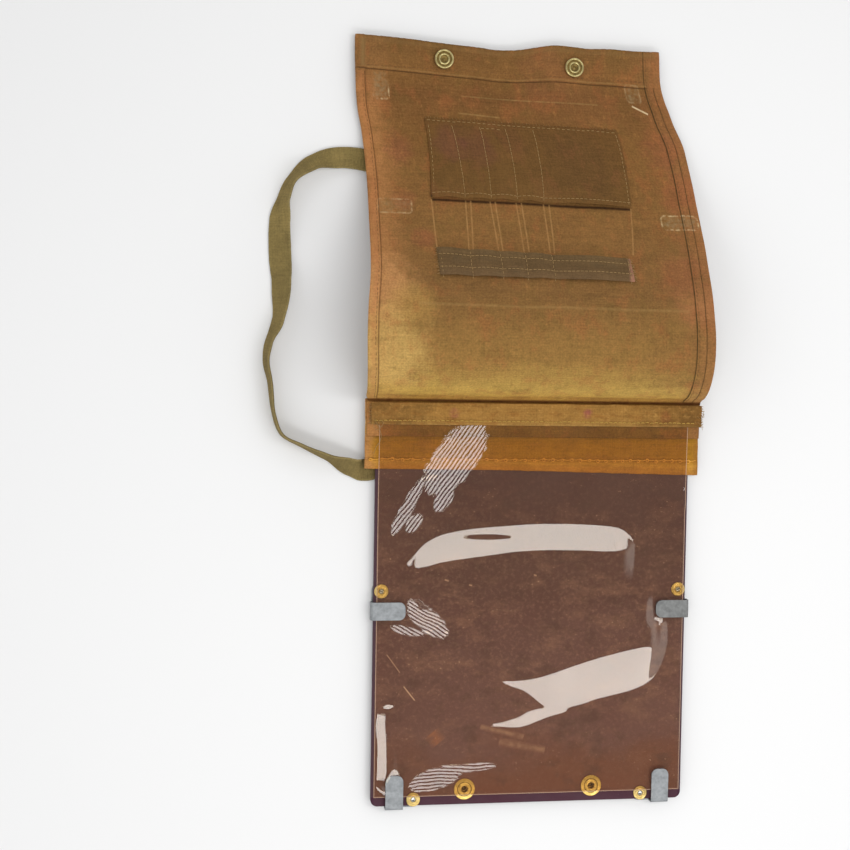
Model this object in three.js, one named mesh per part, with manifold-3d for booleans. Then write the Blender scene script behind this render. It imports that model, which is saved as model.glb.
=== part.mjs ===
// Open map case: a stiff board in a canvas sleeve, a clear cover sheet held by four
// turning clips, and a canvas flap with a pencil pocket. Millimetres, +Z up.
// The case lies on its back. X runs across the board, Y from its foot to the flap's free end,
// and y = 0 is the hinge line until the whole group is centred at the end.
import * as THREE from 'three';
import { mergeVertices } from 'three/addons/utils/BufferGeometryUtils.js';
import Module from 'manifold-3d';

const wasm = await Module();
wasm.setup();

// Board
const boardWidth = 230;
const boardFoot = 288; // hinge line to the foot edge
const boardHidden = 2; // hinge line to the top edge inside the sleeve
const boardThickness = 3;
const boardCornerRadius = 5;

// Canvas
const clothThickness = 1.2;
const stripThickness = 1.0;
const loopCloth = 1.0; // pocket and keeper band
const seatGap = 0.3; // between pieces that are sewn, riveted or clipped together

// Sleeve and hinge strip
const sleeveWidth = 243;
const sleeveFrontDepth = 48;
const sleeveBackDepth = 40;
const sleeveTop = 4.2; // outer face of the fold, above the hinge line
const stripWidth = 241;
const stripOffset = 1.5;
const stripDepth = 14;
const stripUpper = 1.5;
const stripTurnUnder = 11;

// Clear cover
const coverThickness = 0.5;
const coverSideInset = 2;
const coverFootInset = 7;
const coverTop = 5; // below the hinge line
const coverClipGap = 0.4;
const waveHeight = 3.2;

// Flap
const flapWidth = 243;
const flapLength = 300; // crease to free end, along the cloth
const flapSeam = 25; // sewn down on the sleeve
const flapCrease = 3; // crease above the hinge line
const creaseRun = 4;
const endHem = 25;
const leftHem = 6.5;
const rightHem = 11;

// Pencil pocket and keeper band, along the cloth from the crease. The slots between the
// stitch lines are shares of each piece's width.
const pocketNear = 185;
const pocketFar = 242;
const pocketCentre = -0.5;
const pocketSkew = 5.7;
const pocketWidth = 147.5;
const pocketSlots = [0.149, 0.136, 0.132, 0.139, 0.444];
const pocketLift = 2.2;
const bandNear = 122.5;
const bandFar = 144.2;
const bandCentre = -4;
const bandSkew = -2;
const bandWidth = 141.5;
const bandSlots = [0.163, 0.152, 0.127, 0.134, 0.424];
const bandLift = 1.3;

// Clips and rivets
const clipWidth = 12.7;
const clipReach = 25;
const clipStock = 1.0;
const clipBend = 2;
const clipTipRadius = 4.5;
const clipBackLeg = 16;
const clipEarRadius = 6.5;
const clipStandOff = 1.3; // board edge to the inside of the bend
const sideClipFromHinge = 147;
const footClipFromSide = 16.7;
const rivetAlong = 14; // clip centre to its rivet, along the board edge
const sideRivetInset = 5.5;
const footRivetInset = 4.5;
const rivetRadius = 5.1;
const rivetShank = 2;
const rivetHead = 1.0;
const rivetEye = 1.7;
const pivotClearance = 0.15;

// Snaps
const snapSpacing = 94;
const snapFromFoot = 11;
const snapFlange = 7.7;
const snapShank = 3.2;
const snapEye = 2.2;
const studRadius = 4;
const socketRadius = 7.4;
const socketHeight = 2.2;
const socketRim = 1.1;
const capRadius = 7.6;
const capHeight = 3.6;
const capFromEnd = 14;

// Carrying strap
const strapWidth = 15;
const strapThickness = 1.6;
const strapReach = 72; // how far the loop stands out from the sleeve
const strapRun = 218; // lower crossing to upper crossing of the case's side
const strapEndRun = 30; // sewn length under the sleeve

// Levels, stacked up from the surface that the case lies on
const sleeveBackLow = strapThickness + seatGap;
const boardBack = sleeveBackLow + clothThickness + seatGap;
const boardFace = boardBack + boardThickness;
const sleeveFrontLow = boardFace + seatGap;
const sleeveFrontTop = sleeveFrontLow + clothThickness;
const flapSeamLow = sleeveFrontTop + seatGap;
const flapSeamTop = flapSeamLow + clothThickness;
const coverHingeLow = flapSeamTop + seatGap;
const stripLow = coverHingeLow + coverThickness + seatGap;
const washerLow = boardFace + seatGap;
const washerTop = washerLow + rivetHead;
const coverLow = washerTop + seatGap;
const clipFrontLow = coverLow + coverThickness + coverClipGap;
const clipFrontTop = clipFrontLow + clipStock;
const clipBackTop = boardBack - seatGap;
const clipBackLow = clipBackTop - clipStock;

// Course of the flap from the crease to its free end: slope of each edge in degrees,
// sideways shift and width as shares of the flap's width
const flapCourse = [
  { along: 0.0, left: 30, right: 34, shift: 0.0, width: 1.0 },
  { along: 0.03, left: 78, right: 80, shift: -0.004, width: 1.0 },
  { along: 0.1, left: 68, right: 71, shift: -0.016, width: 0.99 },
  { along: 0.17, left: 44, right: 47, shift: -0.026, width: 0.985 },
  { along: 0.24, left: 4, right: 6, shift: -0.031, width: 0.985 },
  { along: 0.31, left: -20, right: -21, shift: -0.029, width: 0.985 },
  { along: 0.42, left: -28, right: -29, shift: -0.02, width: 0.98 },
  { along: 0.55, left: -27, right: -28, shift: -0.018, width: 0.98 },
  { along: 0.67, left: -19, right: -20, shift: -0.026, width: 0.97 },
  { along: 0.77, left: -8, right: -8, shift: -0.05, width: 0.95 },
  { along: 0.84, left: 5, right: 5, shift: -0.08, width: 0.925 },
  { along: 0.92, left: -2, right: -2, shift: -0.095, width: 0.91 },
  { along: 1.0, left: 2, right: 2, shift: -0.1, width: 0.905 },
];

// Swells of the clear cover: centre, half length and half width as shares of the board's
// width and foot length, turn in degrees, height as a share of waveHeight
const coverSwells = [
  { across: -0.03, down: 0.345, long: 0.36, wide: 0.055, turn: 4, height: 0.9 },
  { across: 0.14, down: 0.73, long: 0.3, wide: 0.06, turn: 26, height: 1.0 },
  { across: -0.25, down: 0.23, long: 0.16, wide: 0.05, turn: 62, height: 0.55 },
  { across: 0.22, down: 0.5, long: 0.25, wide: 0.09, turn: -12, height: 0.45 },
  { across: -0.24, down: 0.6, long: 0.18, wide: 0.08, turn: 35, height: 0.5 },
];

// Route of the strap. out is a share of strapReach beyond the sleeve's left side, or
// of the sleeve's half width inwards where it is negative. run is a share of strapRun
// up from the lower crossing. turn is the angle in degrees from lying flat to on edge.
const strapRoute = [
  { out: -0.24, run: 0.045, turn: 0 },
  { out: -0.12, run: 0.02, turn: 0 },
  { out: 0.0, run: 0.0, turn: 0 },
  { out: 0.15, run: 0.01, turn: 34 },
  { out: 0.39, run: 0.044, turn: 74 },
  { out: 0.65, run: 0.082, turn: 84 },
  { out: 0.83, run: 0.115, turn: 86 },
  { out: 0.91, run: 0.18, turn: 86 },
  { out: 0.95, run: 0.28, turn: 82 },
  { out: 0.99, run: 0.352, turn: 78 },
  { out: 0.965, run: 0.41, turn: 74 },
  { out: 0.88, run: 0.48, turn: 62 },
  { out: 0.85, run: 0.59, turn: 34 },
  { out: 0.865, run: 0.695, turn: 6 },
  { out: 0.872, run: 0.8, turn: 24 },
  { out: 0.836, run: 0.872, turn: 60 },
  { out: 0.76, run: 0.93, turn: 66 },
  { out: 0.565, run: 0.985, turn: 44 },
  { out: 0.31, run: 1.006, turn: 14 },
  { out: 0.0, run: 1.0, turn: 3 },
  { out: -0.2, run: 0.968, turn: 0 },
  { out: -0.5, run: 0.885, turn: 0 },
  { out: -0.9, run: 0.76, turn: 0 },
  { out: -1.3, run: 0.615, turn: 0 },
  { out: -1.62, run: 0.46, turn: 0 },
  { out: -1.8, run: 0.33, turn: 0 },
  { out: -1.855, run: 0.22, turn: 0 },
];

const materials = {
  canvas: { color: 0x85683a, roughness: 0.95, metalness: 0 },
  pocketCanvas: { color: 0x6e5530, roughness: 0.95, metalness: 0 },
  bandCanvas: { color: 0x635540, roughness: 0.95, metalness: 0 },
  sleeveCanvas: { color: 0x96682f, roughness: 0.95, metalness: 0 },
  stripCanvas: { color: 0xa08243, roughness: 0.95, metalness: 0 },
  board: { color: 0x5a3c3c, roughness: 0.45, metalness: 0 },
  cover: { color: 0xd8ceb0, roughness: 0.1, metalness: 0, opacity: 0.25, transparent: true },
  zinc: { color: 0x969e9e, roughness: 0.45, metalness: 1 },
  brass: { color: 0xbe9f48, roughness: 0.35, metalness: 1 },
  blackPaint: { color: 0x1c1b19, roughness: 0.4, metalness: 0 },
  webbing: { color: 0x645832, roughness: 0.95, metalness: 0 },
};

const mapCase = new THREE.Group();

function addPiece(name, geometry, finish) {
  const mesh = new THREE.Mesh(geometry, new THREE.MeshStandardMaterial(materials[finish]));
  mesh.name = name;
  mapCase.add(mesh);
  return mesh;
}

// Geometry and boolean helpers

function plain(geometry) {
  const bare = geometry.clone();
  bare.deleteAttribute('normal');
  bare.deleteAttribute('uv');
  return mergeVertices(bare, 1e-4);
}

function toSolid(geometry) {
  const merged = plain(geometry);
  const vertProperties = new Float32Array(merged.attributes.position.array);
  const triVerts = new Uint32Array(merged.index.array);
  return new wasm.Manifold(new wasm.Mesh({ numProp: 3, vertProperties, triVerts }));
}

function toGeometry(solid) {
  const mesh = solid.getMesh();
  const geometry = new THREE.BufferGeometry();
  geometry.setAttribute('position', new THREE.BufferAttribute(mesh.vertProperties, 3));
  geometry.setIndex(new THREE.BufferAttribute(mesh.triVerts, 1));
  return geometry;
}

// Closed wall between two faces that are both given over the same grid
function wall(us, vs, upper, lower) {
  const points = [];
  for (const face of [upper, lower]) {
    for (const v of vs) {
      for (const u of us) {
        points.push(...face(u, v));
      }
    }
  }
  const columns = us.length;
  const rows = vs.length;
  const at = (face, row, column) => (face * rows + row) * columns + column;
  const index = [];
  const quad = (a, b, c, d) => index.push(a, b, c, a, c, d);
  for (let row = 0; row < rows - 1; row++) {
    for (let column = 0; column < columns - 1; column++) {
      const next = column + 1;
      quad(at(0, row, column), at(0, row, next), at(0, row + 1, next), at(0, row + 1, column));
      quad(at(1, row, column), at(1, row + 1, column), at(1, row + 1, next), at(1, row, next));
    }
  }
  for (let column = 0; column < columns - 1; column++) {
    const next = column + 1;
    quad(at(0, 0, next), at(0, 0, column), at(1, 0, column), at(1, 0, next));
    quad(at(0, rows - 1, column), at(0, rows - 1, next), at(1, rows - 1, next), at(1, rows - 1, column));
  }
  const end = columns - 1;
  for (let row = 0; row < rows - 1; row++) {
    quad(at(0, row, 0), at(0, row + 1, 0), at(1, row + 1, 0), at(1, row, 0));
    quad(at(0, row + 1, end), at(0, row, end), at(1, row, end), at(1, row + 1, end));
  }
  const geometry = new THREE.BufferGeometry();
  geometry.setAttribute('position', new THREE.Float32BufferAttribute(points, 3));
  geometry.setIndex(index);
  return geometry;
}

// Outline in Y and Z, drawn out along X
function alongX(shape, from, to) {
  const options = { depth: to - from, bevelEnabled: false, curveSegments: 6 };
  const geometry = new THREE.ExtrudeGeometry(shape, options);
  const turn = new THREE.Matrix4().makeBasis(
    new THREE.Vector3(0, 1, 0),
    new THREE.Vector3(0, 0, 1),
    new THREE.Vector3(1, 0, 0),
  );
  return geometry.applyMatrix4(turn).translate(from, 0, 0);
}

// Outline in X and Y, drawn up from one level to another
function upright(shape, low, high, curveSegments = 8) {
  const options = { depth: high - low, bevelEnabled: false, curveSegments };
  return new THREE.ExtrudeGeometry(shape, options).translate(0, 0, low);
}

// Round piece on the Z axis from radius and height pairs
function turned(profile, segments) {
  const points = profile.map(([radius, height]) => new THREE.Vector2(radius, height));
  return new THREE.LatheGeometry(points, segments).rotateX(Math.PI / 2);
}

function circleHole(x, y, radius) {
  const hole = new THREE.Path();
  hole.absarc(x, y, radius, 0, 2 * Math.PI, true);
  return hole;
}

function ease(from, to, value) {
  return THREE.MathUtils.smoothstep(value, Math.min(from, to), Math.max(from, to));
}

function even(from, to, steps) {
  return Array.from({ length: steps + 1 }, (_, i) => from + ((to - from) * i) / steps);
}

// Value of one column of a table at a share of the way, smooth through its rows
function readTable(table, key, column, share) {
  let row = 0;
  while (row < table.length - 2 && share > table[row + 1][key]) {
    row++;
  }
  const slopeAt = (i) => {
    const before = table[Math.max(i - 1, 0)];
    const after = table[Math.min(i + 1, table.length - 1)];
    return (after[column] - before[column]) / (after[key] - before[key]);
  };
  const step = table[row + 1][key] - table[row][key];
  const t = (share - table[row][key]) / step;
  const start = table[row][column] * (2 * t ** 3 - 3 * t ** 2 + 1);
  const end = table[row + 1][column] * (-2 * t ** 3 + 3 * t ** 2);
  const leave = slopeAt(row) * step * (t ** 3 - 2 * t ** 2 + t);
  const arrive = slopeAt(row + 1) * step * (t ** 3 - t ** 2);
  return start + end + leave + arrive;
}

// Where the rivets and snaps sit on the board
const sideRivetX = boardWidth / 2 - sideRivetInset;
const sideRivetY = -sideClipFromHinge + rivetAlong;
const footClipX = boardWidth / 2 - footClipFromSide;
const footRivetX = footClipX - rivetAlong;
const footRivetY = -boardFoot + footRivetInset;
const snapY = -boardFoot + snapFromFoot;

function makeBoard() {
  const half = boardWidth / 2;
  const r = boardCornerRadius;
  const outline = new THREE.Shape();
  outline.moveTo(half, -boardHidden);
  outline.lineTo(-half, -boardHidden);
  outline.lineTo(-half, -boardFoot + r);
  outline.absarc(-half + r, -boardFoot + r, r, Math.PI, 1.5 * Math.PI, false);
  outline.absarc(half - r, -boardFoot + r, r, 1.5 * Math.PI, 2 * Math.PI, false);
  outline.closePath();
  const pinHole = rivetShank + pivotClearance;
  for (const side of [-1, 1]) {
    outline.holes.push(circleHole(side * sideRivetX, sideRivetY, pinHole));
    outline.holes.push(circleHole(side * footRivetX, footRivetY, pinHole));
    outline.holes.push(circleHole((side * snapSpacing) / 2, snapY, snapShank + seatGap));
  }
  addPiece('map_board', upright(outline, boardBack, boardFace), 'board');
}

// Canvas channel over the board's top edge, longer in front than behind
function makeSleeve() {
  const outer = (sleeveFrontTop - sleeveBackLow) / 2;
  const inner = outer - clothThickness;
  const middle = (sleeveFrontTop + sleeveBackLow) / 2;
  const bendY = sleeveTop - outer;
  const profile = new THREE.Shape();
  profile.moveTo(-sleeveBackDepth, sleeveBackLow);
  profile.lineTo(bendY, sleeveBackLow);
  profile.absarc(bendY, middle, outer, -Math.PI / 2, Math.PI / 2, false);
  profile.lineTo(-sleeveFrontDepth, sleeveFrontTop);
  profile.lineTo(-sleeveFrontDepth, sleeveFrontLow);
  profile.lineTo(bendY, sleeveFrontLow);
  profile.absarc(bendY, middle, inner, Math.PI / 2, -Math.PI / 2, true);
  profile.lineTo(-sleeveBackDepth, sleeveBackLow + clothThickness);
  profile.closePath();
  addPiece('board_sleeve', alongX(profile, -sleeveWidth / 2, sleeveWidth / 2), 'sleeveCanvas');
}

// Strip over the hinge seam with its lower edge turned under
function makeHingeStrip() {
  const fold = stripThickness + seatGap / 2;
  const foldY = -stripDepth + fold;
  const middle = stripLow + fold;
  const upperLow = middle + seatGap / 2;
  const underEnd = -stripDepth + stripTurnUnder;
  const profile = new THREE.Shape();
  profile.moveTo(stripUpper, upperLow);
  profile.lineTo(stripUpper, upperLow + stripThickness);
  profile.lineTo(foldY, upperLow + stripThickness);
  profile.absarc(foldY, middle, fold, Math.PI / 2, 1.5 * Math.PI, false);
  profile.lineTo(underEnd, stripLow);
  profile.lineTo(underEnd, stripLow + stripThickness);
  profile.lineTo(foldY, stripLow + stripThickness);
  profile.absarc(foldY, middle, seatGap / 2, 1.5 * Math.PI, Math.PI / 2, true);
  profile.closePath();
  const from = stripOffset - stripWidth / 2;
  addPiece('hinge_strip', alongX(profile, from, from + stripWidth), 'stripCanvas');
}

// Clear sheet: over the seam and the sleeve, then over the rivets and snaps, with loose swells
function makeCover() {
  const overSeam = -flapSeam + flapCrease;
  const drop = 8;
  const swell = (x, y) => {
    let height = 0;
    for (const s of coverSwells) {
      const turn = THREE.MathUtils.degToRad(s.turn);
      const dx = x - s.across * boardWidth;
      const dy = y + s.down * boardFoot;
      const along = (dx * Math.cos(turn) + dy * Math.sin(turn)) / (s.long * boardWidth);
      const across = (dy * Math.cos(turn) - dx * Math.sin(turn)) / (s.wide * boardFoot);
      height += s.height * Math.exp(-along * along - across * across);
    }
    const clearOfClips = boardWidth / 2 + clipStandOff + clipStock - clipReach;
    const side = 1 - ease(clearOfClips * 0.8, clearOfClips, Math.abs(x));
    const foot = ease(-boardFoot + clipReach, -boardFoot + 1.7 * clipReach, y);
    const head = 1 - ease(-sleeveFrontDepth - 2.5 * drop, -sleeveFrontDepth, y);
    return waveHeight * height * side * foot * head;
  };
  const low = (x, y) => {
    const onSleeve = sleeveFrontTop + seatGap;
    const seam = (coverHingeLow - onSleeve) * ease(overSeam - drop, overSeam, y);
    const sleeve = (onSleeve - coverLow) * ease(-sleeveFrontDepth - drop, -sleeveFrontDepth, y);
    return coverLow + sleeve + seam + swell(x, y);
  };
  const half = boardWidth / 2 - coverSideInset;
  const foot = -boardFoot + coverFootInset;
  const edges = [-coverTop, overSeam, overSeam - drop, -sleeveFrontDepth, -sleeveFrontDepth - drop];
  const rows = [...edges, ...even(edges.at(-1), foot, 21).slice(1)].reverse();
  const upper = (x, y) => [x, y, low(x, y) + coverThickness];
  const lower = (x, y) => [x, y, low(x, y)];
  addPiece('clear_cover', wall(even(-half, half, 16), rows, upper, lower), 'cover');
}

const snapAlong = flapLength - capFromEnd;

// Course of one edge of the flap, summed up in short steps from the sewn end
function edgeCourse(side) {
  const steps = 480;
  const from = -flapSeam;
  const step = (flapLength - from) / steps;
  const course = [{ s: from, y: flapCrease - flapSeam, z: flapSeamLow + clothThickness / 2 }];
  for (let i = 0; i < steps; i++) {
    const last = course[i];
    const s = from + (i + 0.5) * step;
    const rising = flapCourse[0][side] * ease(-creaseRun, 0, s);
    const free = readTable(flapCourse, 'along', side, Math.max(s, 0) / flapLength);
    const slope = THREE.MathUtils.degToRad(s < 0 ? rising : free);
    const rise = step * Math.sin(slope);
    course.push({ s: last.s + step, y: last.y + step * Math.cos(slope), z: last.z + rise });
  }
  // The free end comes down to where its caps hold it
  const capped = course.find((point) => point.s >= snapAlong);
  const landing = capHeight + seatGap + clothThickness / 2 - capped.z;
  for (const point of course) {
    point.z += landing * ease(0, snapAlong, point.s);
  }
  return (s) => {
    const place = THREE.MathUtils.clamp((s - from) / step, 0, steps - 1e-6);
    const i = Math.floor(place);
    const t = place - i;
    return {
      y: course[i].y * (1 - t) + course[i + 1].y * t,
      z: course[i].z * (1 - t) + course[i + 1].z * t,
    };
  };
}
const leftEdge = edgeCourse('left');
const rightEdge = edgeCourse('right');

function flapHalfWidth(s) {
  return (flapWidth / 2) * readTable(flapCourse, 'along', 'width', Math.max(s, 0) / flapLength);
}

// Middle of the flap's cloth, a from -1 to 1 across, s along from the crease
function flapMiddle(a, s) {
  const shift = flapWidth * readTable(flapCourse, 'along', 'shift', Math.max(s, 0) / flapLength);
  const left = leftEdge(s);
  const right = rightEdge(s);
  const w = (a + 1) / 2;
  return new THREE.Vector3(
    a * flapHalfWidth(s) + shift,
    left.y * (1 - w) + right.y * w,
    left.z * (1 - w) + right.z * w,
  );
}

function flapNormal(a, s) {
  const across = flapMiddle(a + 0.01, s).sub(flapMiddle(a - 0.01, s));
  const along = flapMiddle(a, s + 0.5).sub(flapMiddle(a, s - 0.5));
  return across.cross(along).normalize();
}

function onFlap(a, s, height) {
  return flapMiddle(a, s).addScaledVector(flapNormal(a, s), height).toArray();
}

// Rows along the flap, closer where it bends, with one at each edge that lies on it
const hemLine = flapLength - endHem;
const sewnEdges = [bandNear, bandFar, pocketNear, pocketFar];
const flapEdges = [creaseRun, ...sewnEdges, hemLine - clothThickness / 2, hemLine, flapLength];
const flapRows = [-flapSeam];
for (const edge of flapEdges) {
  const turn = 8;
  const longest = 20;
  let angle = 0;
  for (let s = flapRows.at(-1); s < edge - 2; s += 1) {
    angle += THREE.MathUtils.radToDeg(flapNormal(0, s).angleTo(flapNormal(0, s + 1)));
    if (angle > turn || s + 1 - flapRows.at(-1) > longest) {
      flapRows.push(s + 1);
      angle = 0;
    }
  }
  flapRows.push(edge);
}

function snapShare(side) {
  return (side * snapSpacing) / 2 / flapHalfWidth(snapAlong);
}

// Frame on the flap with Z along the cloth's normal
function flapFrame(a, s) {
  const z = flapNormal(a, s);
  const y = flapMiddle(a, s + 0.5).sub(flapMiddle(a, s - 0.5)).normalize();
  const x = y.clone().cross(z).normalize();
  y.crossVectors(z, x);
  return new THREE.Matrix4().makeBasis(x, y, z).setPosition(flapMiddle(a, s));
}

const flapTop = clothThickness / 2;
const hemTop = flapTop + clothThickness;

function makeFlap() {
  const step = clothThickness / 2;
  const nominalHalf = flapWidth / 2;
  const leftLine = -1 + leftHem / nominalHalf;
  const rightLine = 1 - rightHem / nominalHalf;
  const slope = step / nominalHalf;
  const columns = [-1, leftLine, ...even(leftLine + slope, rightLine - slope, 10), rightLine, 1];
  const top = (a, s) => {
    const hemmed = a <= leftLine || a >= rightLine || s >= hemLine;
    return hemmed && s > creaseRun ? hemTop : flapTop;
  };
  const geometry = wall(
    columns,
    flapRows,
    (a, s) => onFlap(a, s, top(a, s)),
    (a, s) => onFlap(a, s, -clothThickness / 2),
  );
  let cloth = toSolid(geometry);
  for (const side of [-1, 1]) {
    const radius = snapShank + seatGap;
    const drill = new THREE.CylinderGeometry(radius, radius, 8 * clothThickness, 20).rotateX(Math.PI / 2);
    cloth = cloth.subtract(toSolid(drill.applyMatrix4(flapFrame(snapShare(side), snapAlong))));
  }
  addPiece('flap', toGeometry(cloth), 'canvas');
}

// Sewn piece with raised loops between its stitch lines. lift gives the rise at each row.
function loopedPiece(piece) {
  const columns = [];
  const rise = [];
  let start = 0;
  for (const slot of piece.slots) {
    const steps = slot > 0.25 ? 8 : 4;
    for (let i = 0; i < steps; i++) {
      columns.push((start + (slot * i) / steps) * piece.width);
      rise.push(Math.sin((Math.PI * i) / steps));
    }
    start += slot;
  }
  columns.push(start * piece.width);
  rise.push(0);
  const place = (column, s, height) => {
    const share = (s - piece.near) / (piece.far - piece.near);
    const x = columns[column] - piece.width / 2 + piece.centre + piece.skew * (share - 0.5);
    const lifted = rise[column] * piece.lift(share);
    return onFlap(x / (flapWidth / 2), s, flapTop + seatGap + lifted + height);
  };
  const across = columns.map((_, i) => i);
  const along = flapRows.filter((s) => s >= piece.near && s <= piece.far);
  return wall(
    across,
    along,
    (column, s) => place(column, s, loopCloth),
    (column, s) => place(column, s, 0),
  );
}

function makePocket() {
  const lift = (share) => pocketLift * (1 - share) ** 1.5;
  const piece = {
    width: pocketWidth,
    slots: pocketSlots,
    near: pocketNear,
    far: pocketFar,
    centre: pocketCentre,
    skew: pocketSkew,
    lift,
  };
  addPiece('pencil_pocket', loopedPiece(piece), 'pocketCanvas');
}

function makeKeeperBand() {
  const piece = {
    width: bandWidth,
    slots: bandSlots,
    near: bandNear,
    far: bandFar,
    centre: bandCentre,
    skew: bandSkew,
    lift: () => bandLift,
  };
  addPiece('pocket_keeper_band', loopedPiece(piece), 'bandCanvas');
}

// Strip clip bent round the board's edge, in its own frame: x runs inwards from the outside
// of the bend and y across the strip. The ear under the board carries the pivot.
function clipGeometry(rivetInset, earSide) {
  const inner = clipBend - clipStock;
  const bent = new THREE.Shape();
  bent.moveTo(clipReach, clipFrontLow);
  bent.lineTo(clipReach, clipFrontTop);
  bent.lineTo(clipBend, clipFrontTop);
  bent.absarc(clipBend, clipFrontTop - clipBend, clipBend, Math.PI / 2, Math.PI, false);
  bent.absarc(clipBend, clipBackLow + clipBend, clipBend, Math.PI, 1.5 * Math.PI, false);
  bent.lineTo(clipBackLeg, clipBackLow);
  bent.lineTo(clipBackLeg, clipBackTop);
  bent.absarc(clipBend, clipBackTop + inner, inner, 1.5 * Math.PI, Math.PI, true);
  bent.absarc(clipBend, clipFrontLow - inner, inner, Math.PI, Math.PI / 2, true);
  bent.closePath();
  const half = clipWidth / 2;
  const options = { depth: clipWidth, bevelEnabled: false, curveSegments: 3 };
  const strip = new THREE.ExtrudeGeometry(bent, options);
  strip.translate(0, 0, -half).rotateX(Math.PI / 2);

  const plan = new THREE.Shape();
  const tip = clipReach - clipTipRadius;
  plan.moveTo(-1, -half);
  plan.lineTo(tip, -half);
  plan.absarc(tip, -half + clipTipRadius, clipTipRadius, -Math.PI / 2, 0, false);
  plan.absarc(tip, half - clipTipRadius, clipTipRadius, 0, Math.PI / 2, false);
  plan.lineTo(-1, half);
  plan.closePath();
  const trimmed = toSolid(strip).intersect(toSolid(upright(plan, -1, clipFrontTop + 1, 5)));

  const pivotX = clipStandOff + clipStock + rivetInset;
  const pivotY = earSide * rivetAlong;
  const ear = new THREE.Shape();
  const wide = clipEarRadius;
  ear.moveTo(pivotX - wide, 0);
  ear.lineTo(clipBackLeg, 0);
  ear.lineTo(clipBackLeg, earSide * half);
  ear.lineTo(pivotX + wide, pivotY);
  ear.absarc(pivotX, pivotY, wide, 0, earSide * Math.PI, earSide < 0);
  ear.closePath();
  const hole = new THREE.CylinderGeometry(rivetShank + pivotClearance, rivetShank + pivotClearance, 4, 16);
  hole.rotateX(Math.PI / 2).translate(pivotX, pivotY, clipBackLow);
  const clip = trimmed.add(toSolid(upright(ear, clipBackLow, clipBackTop, 8))).subtract(toSolid(hole));
  return toGeometry(clip);
}

function makeClips() {
  const edge = boardWidth / 2 + clipStandOff + clipStock;
  const foot = -boardFoot - clipStandOff - clipStock;
  const side = -sideClipFromHinge;
  const places = [
    { name: 'side_clip_left', inset: sideRivetInset, ear: 1, x: -edge, y: side, turn: 0 },
    { name: 'side_clip_right', inset: sideRivetInset, ear: -1, x: edge, y: side, turn: Math.PI },
    { name: 'foot_clip_left', inset: footRivetInset, ear: -1, x: -footClipX, y: foot, turn: Math.PI / 2 },
    { name: 'foot_clip_right', inset: footRivetInset, ear: 1, x: footClipX, y: foot, turn: Math.PI / 2 },
  ];
  for (const place of places) {
    const clip = addPiece(place.name, clipGeometry(place.inset, place.ear), 'zinc');
    clip.position.set(place.x, place.y, 0);
    clip.rotation.z = place.turn;
  }
}

function makeRivets() {
  const backTop = clipBackLow - seatGap;
  const bevel = rivetHead / 2;
  const profile = [
    [0, 0],
    [rivetRadius - bevel, 0],
    [rivetRadius, bevel],
    [rivetRadius, backTop],
    [rivetShank, backTop],
    [rivetShank, washerLow],
    [rivetRadius, washerLow],
    [rivetRadius, washerTop - bevel],
    [rivetRadius - bevel, washerTop],
    [rivetEye + bevel, washerTop],
    [rivetEye, washerTop - rivetHead],
    [0, washerTop - rivetHead],
  ];
  for (const [side, word] of [[-1, 'left'], [1, 'right']]) {
    const sideRivet = addPiece(`side_rivet_${word}`, turned(profile, 16), 'brass');
    sideRivet.position.set(side * sideRivetX, sideRivetY, 0);
    const footRivet = addPiece(`foot_rivet_${word}`, turned(profile, 16), 'brass');
    footRivet.position.set(side * footRivetX, footRivetY, 0);
  }
}

// Snap through the board: eyelet flange in front, stud on the back for the flap's sockets
function makeBoardSnaps() {
  const flange = 0.5;
  const ring = snapEye + 1.8;
  const neck = studRadius - 0.6;
  const base = boardBack - seatGap;
  const profile = [
    [0, 0],
    [studRadius - 0.7, 0],
    [studRadius, 0.6],
    [studRadius, 1.3],
    [neck, base - 1],
    [snapFlange - 1, base - 1],
    [snapFlange - 1, base],
    [snapShank, base],
    [snapShank, washerLow],
    [snapFlange, washerLow],
    [snapFlange, washerLow + flange],
    [ring + 0.8, washerLow + flange],
    [ring, washerTop],
    [snapEye + 0.5, washerTop],
    [snapEye, washerTop - 0.5],
    [snapEye, boardBack],
    [0, boardBack],
  ];
  for (const [side, word] of [[-1, 'left'], [1, 'right']]) {
    const snap = addPiece(`board_snap_${word}`, turned(profile, 22), 'brass');
    snap.position.set((side * snapSpacing) / 2, snapY, 0);
  }
}

// Snap of the flap: brass socket on the hemmed inner face, domed cap on the outer face
function makeFlapSnaps() {
  const seat = hemTop + seatGap;
  const rimInner = socketRadius - socketRim;
  const well = studRadius + pivotClearance;
  const floor = seat + 0.7;
  const socket = [
    [0, seat],
    [socketRadius, seat],
    [socketRadius, seat + socketHeight - 0.7],
    [socketRadius - 0.4, seat + socketHeight],
    [rimInner, seat + socketHeight],
    [rimInner - 0.6, floor + 0.3],
    [well + 1.3, floor + 0.3],
    [well + 0.9, seat + socketHeight - 0.3],
    [well, seat + socketHeight - 0.3],
    [well, floor],
    [0, floor],
  ];
  const capTop = -clothThickness / 2 - seatGap;
  const postTop = seat - seatGap;
  const edge = capTop - capHeight * 0.4;
  const cap = [
    [0, capTop - capHeight],
    [capRadius * 0.42, capTop - capHeight * 0.93],
    [capRadius * 0.78, capTop - capHeight * 0.7],
    [capRadius, edge],
    [capRadius, capTop],
    [snapShank, capTop],
    [snapShank, postTop],
    [0, postTop],
  ];
  for (const [side, word] of [[-1, 'left'], [1, 'right']]) {
    const frame = flapFrame(snapShare(side), snapAlong);
    const upper = addPiece(`flap_socket_${word}`, turned(socket, 22), 'brass');
    upper.applyMatrix4(frame);
    const lower = addPiece(`flap_cap_${word}`, turned(cap, 20), 'blackPaint');
    lower.applyMatrix4(frame);
  }
}

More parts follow.
